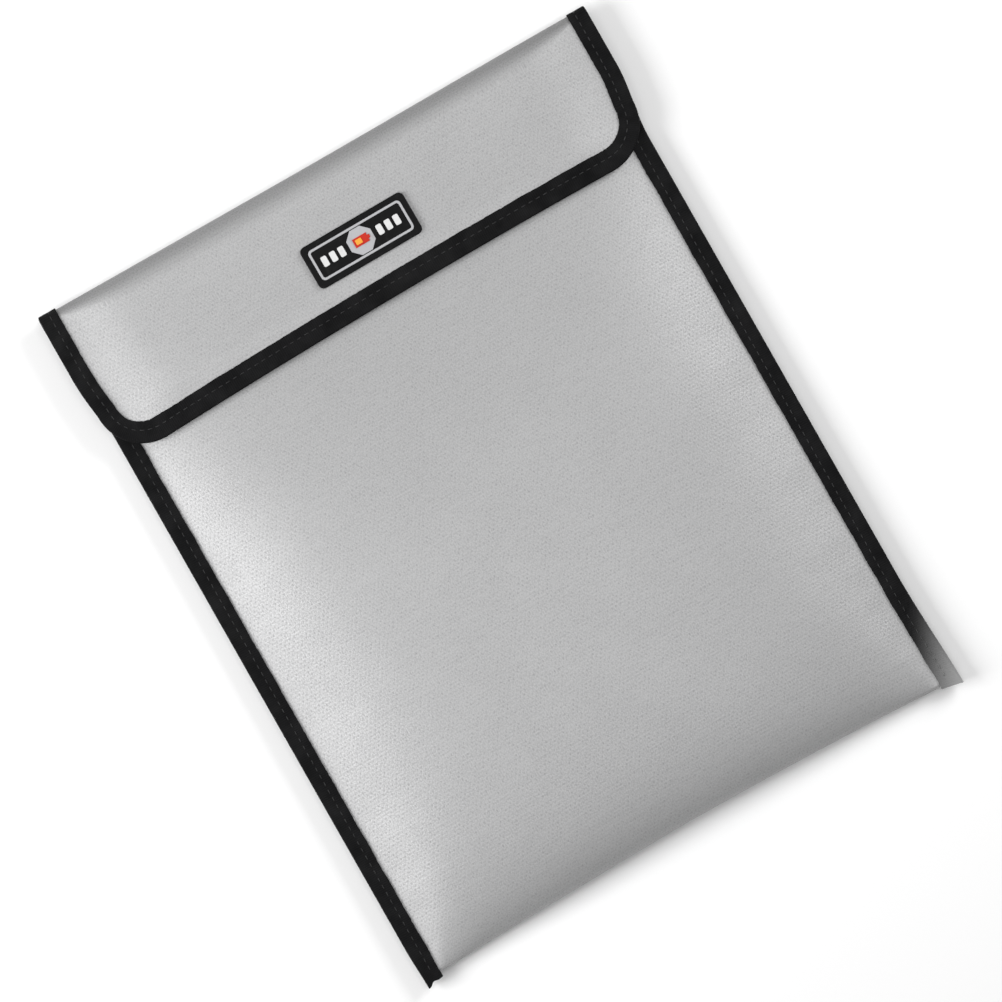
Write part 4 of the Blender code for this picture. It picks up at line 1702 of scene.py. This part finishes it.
@dataclass
class Flap(SubAssembly):
    """The flap's cloth and lining, from halfway round the top fold to its front edge.

    Attributes:
        cloth: thickness of the outer cloth.
        lining: thickness of the lining.
        lining_depth: from the outer face to the lining.
        ripple: height of the soft waves in the cloth.
        ripple_size: of those waves.
        calm: width along the front edge and the top fold where they fade out.
    """

    cloth: float = 0.0005
    lining: float = 0.0004
    lining_depth: float = 0.00062
    ripple: float = 0.00022
    ripple_size: float = 0.04
    calm: float = 0.012

    def _columns(self) -> list[float]:
        """Shares of the way out to the flap's edge, closer together in its corners."""
        form = self.form
        edge = form.sheet_edge(form.flap_edge + form.flap_corner)
        straight = edge - form.flap_corner
        turns = steps(0, math.pi / 2, 18)
        corner = [(straight + form.flap_corner * math.sin(turn)) / edge for turn in turns]
        middle = steps(0, straight / edge, 26)[1:-1]
        half = middle + corner
        return [-value for value in reversed(half)] + [0.0] + half

    def _rows(self) -> list[list[Placed]]:
        """Rows from the flap's front edge to halfway round the top fold."""
        form = self.form
        rows: list[list[Placed]] = []
        for row in steps(0, 1, 48):
            placed = []
            for share in self._columns():
                low = form.flap_low(share * form.sheet_edge(form.flap_edge + form.flap_corner))
                high = form.share_point(share, 180).y
                y = between(low, high, row**1.15)
                x = share * form.sheet_edge(y)
                y = form.slanted(x, y)
                z = form.flap_height(x, min(y, form.top_tangent))
                free = smooth_step(y, form.flap_edge, form.flap_edge + self.calm)
                free *= 1 - smooth_step(y, form.top_tangent - self.calm, form.top_tangent)
                ripple = wave(x, y, self.ripple_size, 7.0) * self.ripple
                z += ripple * free * min(form.crown(x, y) * 3, 1.0)
                placed.append((Vector((x, y, z)), (x, y - form.top_tangent, 0.0)))
            rows.append(placed)
        for turn in steps(180, 90, 12)[1:]:
            placed = []
            for share in self._columns():
                point = form.share_point(share, turn)
                v = form.quarter_turn * (2 - turn / 90)
                # the third cloth coordinate carries the painted shade round the top fold
                placed.append((point, (point.x, v, form.crease(point.y))))
            rows.append(placed)
        return rows

    def build(self) -> None:
        """Makes the flap's cloth and its lining."""
        rows, finishes = self._rows(), self.finishes
        panel = Sheet("flap_cloth", rows).build(self.cloth, finishes.cloth)
        self.bend_high(panel, "flap_panel")
        lining = Sheet("flap_cloth_lining", rows).build(
            self.lining, finishes.lining, self.lining_depth
        )
        self.bend_high(lining, "flap_lining")


@dataclass
class Fastening(SubAssembly):
    """The hook-and-loop strips, sewn on round their edges.

    Attributes:
        length: of each strip.
        thickness: of each strip.
        hug: gap between strip and cloth.
        inset: from a strip's edge to its stitches.
    """

    length: float = 0.166
    thickness: float = 0.0010
    hug: float = 0.00015
    inset: float = 0.0011

    def _rows(self, height: Height) -> list[list[Placed]]:
        """Rows of a strip whose outer face lies at a height over the level."""
        form = self.form
        low = form.flap_edge + form.edge_ease + form.strip_clear
        rows = []
        for y in steps(low, low + form.strip_width, 24):
            across = y - low - form.strip_width / 2
            end = self.length / 2
            row = []
            for x in steps(-end, end, 120):
                row.append((Vector((x, y, height(x, y))), (x, across, across)))
            rows.append(row)
        return rows

    def _seam(self, height: Height, way: int) -> Line:
        """The closed line of stitches round a strip, on a face that looks up (1) or down (-1)."""
        form = self.form
        low = form.flap_edge + form.edge_ease + form.strip_clear + self.inset
        high = low + form.strip_width - 2 * self.inset
        end = self.length / 2 - self.inset
        outline = [(x, low) for x in steps(-end, end, 140)]
        outline += [(end, y) for y in steps(low, high, 12)[1:]]
        outline += [(x, high) for x in steps(end, -end, 140)[1:]]
        outline += [(-end, y) for y in steps(high, low, 12)[1:-1]]
        up = Vector((0, 0, way))
        return [(Vector((x, y, height(x, y))), up) for x, y in outline]

    def _loop_face(self, x: float, y: float) -> float:
        """Outer face of the loop strip, which looks up."""
        return self.form.front_height(x, y) + self.hug + self.thickness

    def _hook_face(self, x: float, y: float) -> float:
        """Outer face of the hook strip, which looks down."""
        return self.form.flap_height(x, y) - self.form.sheet_pair - self.hug - self.thickness

    def build(self) -> None:
        """Makes both strips and their stitches."""
        rows = self._rows(self._loop_face)
        strip = Sheet("loop_tape", rows).build(self.thickness, self.finishes.loops)
        self.hang(strip, Body.POCKET, "loop_strip")
        row = StitchRow("loop_tape_stitches", self._seam(self._loop_face, 1), closed=True)
        self.hang(row.build(self.finishes.thread), Body.POCKET, "loop_strip_thread")
        rows = [row[::-1] for row in self._rows(self._hook_face)]
        strip = Sheet("hook_tape", rows).build(self.thickness, self.finishes.hooks)
        self.hang(strip, Body.FLAP, "hook_strip")
        row = StitchRow("hook_tape_stitches", self._seam(self._hook_face, -1), closed=True)
        self.hang(row.build(self.finishes.thread), Body.FLAP, "hook_strip_thread")


@dataclass
class Label(SubAssembly):
    """The moulded rubber label on the flap: framed charge marks on both sides of a battery sign.

    Attributes:
        width: of the base.
        height: of the base.
        thickness: of the base.
        corner: radius of the base's corners.
        shift: of the label from the middle.
        drop: from the top fold to its middle.
        relief: height of the raised marks.
        frame_inset: from the base's edge to the frame.
        frame_width: of the frame's line.
        emblem_radius: of the plate behind the battery sign.
        mark_width: of a charge mark.
        mark_height: of a charge mark.
        mark_pitch: from one charge mark to the next.
        mark_start: from the label's middle to the nearest marks.
        turn: how far the label is turned, to lie level with the flap's edge.
        gap: between the flap's cloth and the base.
        base_bevel: radius of the base's rounded edges.
        frame_corners: radii of the frame's corners, outside and inside.
        sunk: how far the raised marks are let into the base.
        line_bevel: radius of the frame's rounded edges.
        mark_bevel: radius of the rounded edges of the plaque and the charge marks.
        sign_bevel: radius of the rounded edges of the battery sign and its charge.
        sign: length, width and tip of the battery sign.
        sign_thickness: of the battery sign.
        charge: length and width of the charge on the sign, and the radius of its corners.
        charge_thickness: of that charge.
        charge_shift: of the charge from the middle of the sign.
        charge_lift: from the sign's underside to the charge's.
    """

    width: float = 0.0453
    height: float = 0.0178
    thickness: float = 0.0013
    corner: float = 0.0022
    shift: float = 0.0020
    drop: float = 0.0353
    relief: float = 0.0005
    frame_inset: float = 0.0024
    frame_width: float = 0.00095
    emblem_radius: float = 0.0057
    mark_width: float = 0.0024
    mark_height: float = 0.0042
    mark_pitch: float = 0.0037
    mark_start: float = 0.0084
    turn: float = 0.0122
    gap: float = 0.00025
    base_bevel: float = 0.00035
    frame_corners: tuple[float, float] = (0.0017, 0.0009)
    sunk: float = 0.0001
    line_bevel: float = 0.00014
    mark_bevel: float = 0.00016
    sign_bevel: float = 0.0001
    sign: tuple[float, float, float] = (0.0060, 0.0036, 0.0008)
    sign_thickness: float = 0.0004
    charge: tuple[float, float, float] = (0.0026, 0.0021, 0.0003)
    charge_thickness: float = 0.00035
    charge_shift: float = -0.0009
    charge_lift: float = 0.0003

    def _box(self, width: float, height: float, radius: float, count: int = 6) -> Outline:
        """Outline of a box with round corners, centred on the origin."""
        points = []
        for quarter, (sx, sy) in enumerate(((1, 1), (-1, 1), (-1, -1), (1, -1))):
            for turn in steps(math.pi / 2 * quarter, math.pi / 2 * (quarter + 1), count):
                x = sx * (width / 2 - radius) + radius * math.cos(turn)
                points.append((x, sy * (height / 2 - radius) + radius * math.sin(turn)))
        return points

    def _plate(
        self,
        name: str,
        outlines: Iterable[Outline],
        base: float,
        thickness: float,
        finish: Finish,
        bevel: float,
        centre: tuple[float, float] = (0.0, 0.0),
    ) -> bpy.types.Object:
        """Makes a moulded plate with rounded edges.

        Args:
            name: the piece's name.
            outlines: closed outlines; one inside another is a hole.
            base: height of its underside over the flap.
            thickness: of the plate.
            finish: its surface finish.
            bevel: radius of its rounded edges.
            centre: of the outlines on the label.

        Returns:
            The plate.
        """
        curve = bpy.data.curves.new(name, "CURVE")
        curve.dimensions = "2D"
        curve.fill_mode = "BOTH"
        curve.extrude = thickness / 2 - bevel
        curve.bevel_depth = bevel
        curve.bevel_resolution = 3
        curve.offset = -bevel
        for outline in outlines:
            spline = curve.splines.new("POLY")
            spline.points.add(len(outline) - 1)
            for target, (x, y) in zip(spline.points, outline):
                target.co = (x + centre[0], y + centre[1], 0.0, 1.0)
            spline.use_cyclic_u = True
        plate = bpy.data.objects.new(name, curve)
        bpy.context.scene.collection.objects.link(plate)
        form = self.form
        y = form.top_y - self.drop
        low = form.flap_height(self.shift, y - self.height / 2)
        high = form.flap_height(self.shift, y + self.height / 2)
        tilt = math.atan2(high - low, self.height)
        up = Vector((0, -math.sin(tilt), math.cos(tilt)))
        foot = Vector((self.shift, y, form.flap_height(self.shift, y)))
        plate.rotation_euler = (tilt, 0.0, self.turn)
        plate.location = foot + up * (base + thickness / 2)
        bpy.context.view_layer.update()
        return finished(plate, finish, 35.0)

    def _sign(self, length: float, width: float, tip: float, x: float = 0.0) -> Outline:
        """A battery seen from its side, with a narrow tip at its right end."""
        end, half, nib = length / 2, width / 2, width / 5
        points = [(-end, -half), (end, -half), (end, -nib), (end + tip, -nib)]
        points += [(end + tip, nib), (end, nib), (end, half), (-end, half)]
        return [(px + x, py) for px, py in points]

    def _ring(self, radius: float, sides: int) -> Outline:
        """A regular outline with a flat side at the top."""
        turns = [2 * math.pi * (index + 0.5) / sides for index in range(sides)]
        return [(radius * math.cos(turn), radius * math.sin(turn)) for turn in turns]

    def build(self) -> None:
        """Makes the base, its frame, the battery sign and the charge marks."""
        finishes = self.finishes
        foot = self.gap + self.thickness - self.sunk
        body = [self._box(self.width, self.height, self.corner)]
        plate = self._plate(
            "label_plate", body, self.gap, self.thickness, finishes.black, self.base_bevel
        )
        self.hang(plate, Body.FLAP, "label_base")
        rings = self._frame()
        plate = self._plate(
            "label_line", rings, foot, self.relief * 0.9, finishes.grey, self.line_bevel
        )
        self.hang(plate, Body.FLAP, "label_frame")
        ring = [self._ring(self.emblem_radius, 8)]
        plate = self._plate(
            "label_plaque", ring, foot, self.relief, finishes.grey, self.mark_bevel
        )
        self.hang(plate, Body.FLAP, "label_emblem")
        self._build_battery(foot + self.relief - self.sunk / 2)
        self._build_marks(foot)

    def _frame(self) -> list[Outline]:
        """Outer and inner outline of the frame."""
        wide, high = self.width - 2 * self.frame_inset, self.height - 2 * self.frame_inset
        line = 2 * self.frame_width
        outside, inside = self.frame_corners
        return [self._box(wide, high, outside), self._box(wide - line, high - line, inside)]

    def _build_battery(self, foot: float) -> None:
        """Makes the battery sign, at a height over the flap, and the charge on it."""
        finishes = self.finishes
        sign = [self._sign(*self.sign)]
        plate = self._plate(
            "label_battery", sign, foot, self.sign_thickness, finishes.red, self.sign_bevel
        )
        self.hang(plate, Body.FLAP, "label_cell")
        charge = [self._box(*self.charge)]
        foot += self.charge_lift
        shift = (self.charge_shift, 0.0)
        plate = self._plate(
            "label_charge",
            charge,
            foot,
            self.charge_thickness,
            finishes.amber,
            self.sign_bevel,
            shift,
        )
        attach(plate, Body.FLAP.value)

    def _build_marks(self, foot: float) -> None:
        """Makes the three charge marks on each side, at a height over the flap."""
        white = self.finishes.white
        mark = [self._box(self.mark_width, self.mark_height, self.mark_width / 4)]
        for side in Side:
            for index in range(3):
                centre = (side.value * (self.mark_start + index * self.mark_pitch), 0.0)
                number = f"{side.word}_{index + 1}"
                plate = self._plate(
                    f"label_bar_{number}", mark, foot, self.relief, white, self.mark_bevel, centre
                )
                self.hang(plate, Body.FLAP, f"label_mark_{number}")


# Studio


@dataclass(frozen=True)
class SoftBox:
    """A square soft light that looks at the bag.

    Attributes:
        name: of the light.
        azimuth: degrees round the bag, from +X towards +Y.
        elevation: degrees above the table.
        distance: from the bag.
        size: of its side.
        power: in watts.
        along: how far its centre lies towards the top fold.
    """

    name: str
    azimuth: float
    elevation: float
    distance: float
    size: float
    power: float
    along: float = 0.0

    def build(self) -> None:
        """Makes the light."""
        lamp = bpy.data.lights.new(self.name, "AREA")
        lamp.shape = "SQUARE"
        lamp.size = self.size
        lamp.energy = self.power
        light = bpy.data.objects.new(self.name, lamp)
        bpy.context.scene.collection.objects.link(light)
        turn, rise = math.radians(self.azimuth), math.radians(self.elevation)
        level = math.cos(rise)
        way = Vector((level * math.cos(turn), level * math.sin(turn), math.sin(rise)))
        light.location = way * self.distance + Vector((0.0, self.along, 0.0))
        light.visible_camera = False
        light.rotation_euler = way.to_track_quat("Z", "Y").to_euler()


@dataclass(frozen=True)
class Studio:
    """A pale table, soft lights and a camera straight above the bag.

    Attributes:
        roll: how far the bag is turned to the left in the view, in degrees.
        lens: of the camera, in millimetres.
        sensor: width of the camera's sensor, in millimetres.
        clip: how far the camera sees.
        seen: width of the view at the height of the bag's edges.
        edge_height: height of the bag's edges.
        aim: the point in the middle of the view.
        table_reach: half the width of the table.
        table_gap: between the table and the lowest point of the bag's back.
        sky: strength of the even light from all round.
        table: finish of the table.
        lights: the soft lights.
    """

    roll: float = 29.586
    lens: float = 320.0
    sensor: float = 36.0
    clip: float = 20.0
    seen: float = 0.38293
    edge_height: float = 0.009
    aim: tuple[float, float] = (-0.00065, -0.0009)
    table_reach: float = 3.0
    table_gap: float = 0.0003
    sky: float = 0.22
    table: Finish = TableTop("table top", "table")
    lights: tuple[SoftBox, ...] = (
        SoftBox("left softbox", 180.0, 37.0, 1.2, 0.78, 13.6, 0.25),
        SoftBox("right softbox", 0.0, 37.0, 1.2, 0.6, 8.6, 0.30),
        SoftBox("overhead softbox", 270.0, 86.0, 2.2, 1.4, 13.0),
    )

    def _build_table(self) -> None:
        """Makes the table."""
        mesh = bpy.data.meshes.new("table")
        grid = bmesh.new()
        bmesh.ops.create_grid(grid, x_segments=1, y_segments=1, size=self.table_reach)
        grid.to_mesh(mesh)
        grid.free()
        mesh.materials.append(self.table.material())
        table = bpy.data.objects.new("table", mesh)
        table.location.z = -self.table_gap
        bpy.context.scene.collection.objects.link(table)

    def _build_sky(self) -> None:
        """Makes the even light from all round, and shows colours as they are."""
        scene = bpy.context.scene
        world = bpy.data.worlds.new("studio")
        world.use_nodes = True
        back = world.node_tree.nodes["Background"]
        back.inputs["Color"].default_value = (1.0, 1.0, 1.0, 1.0)
        back.inputs["Strength"].default_value = self.sky
        scene.world = world
        scene.view_settings.view_transform = "Standard"
        scene.view_settings.look = "None"

    def _build_camera(self) -> None:
        """Makes the camera."""
        scene = bpy.context.scene
        lens = bpy.data.cameras.new("camera")
        lens.lens = self.lens
        lens.sensor_width = self.sensor
        lens.clip_end = self.clip
        camera = bpy.data.objects.new("camera", lens)
        scene.collection.objects.link(camera)
        camera.location = (*self.aim, self.edge_height + self.seen * self.lens / self.sensor)
        camera.rotation_euler = (0.0, 0.0, -math.radians(self.roll))
        scene.camera = camera

    def build(self) -> None:
        """Makes the table, the lights, the world and the camera."""
        self._build_table()
        for light in self.lights:
            light.build()
        self._build_sky()
        self._build_camera()


def main() -> None:
    """Builds the bag and the studio."""
    logging.basicConfig(level=logging.INFO, format="%(name)s: %(message)s")
    form, finishes = BagForm(), Finishes()
    Studio().build()
    Pocket(form, finishes).build()
    Flap(form, finishes).build()
    Binding(form, finishes).build()
    Fastening(form, finishes).build()
    Label(form, finishes).build()


if __name__ == "__main__":
    main()
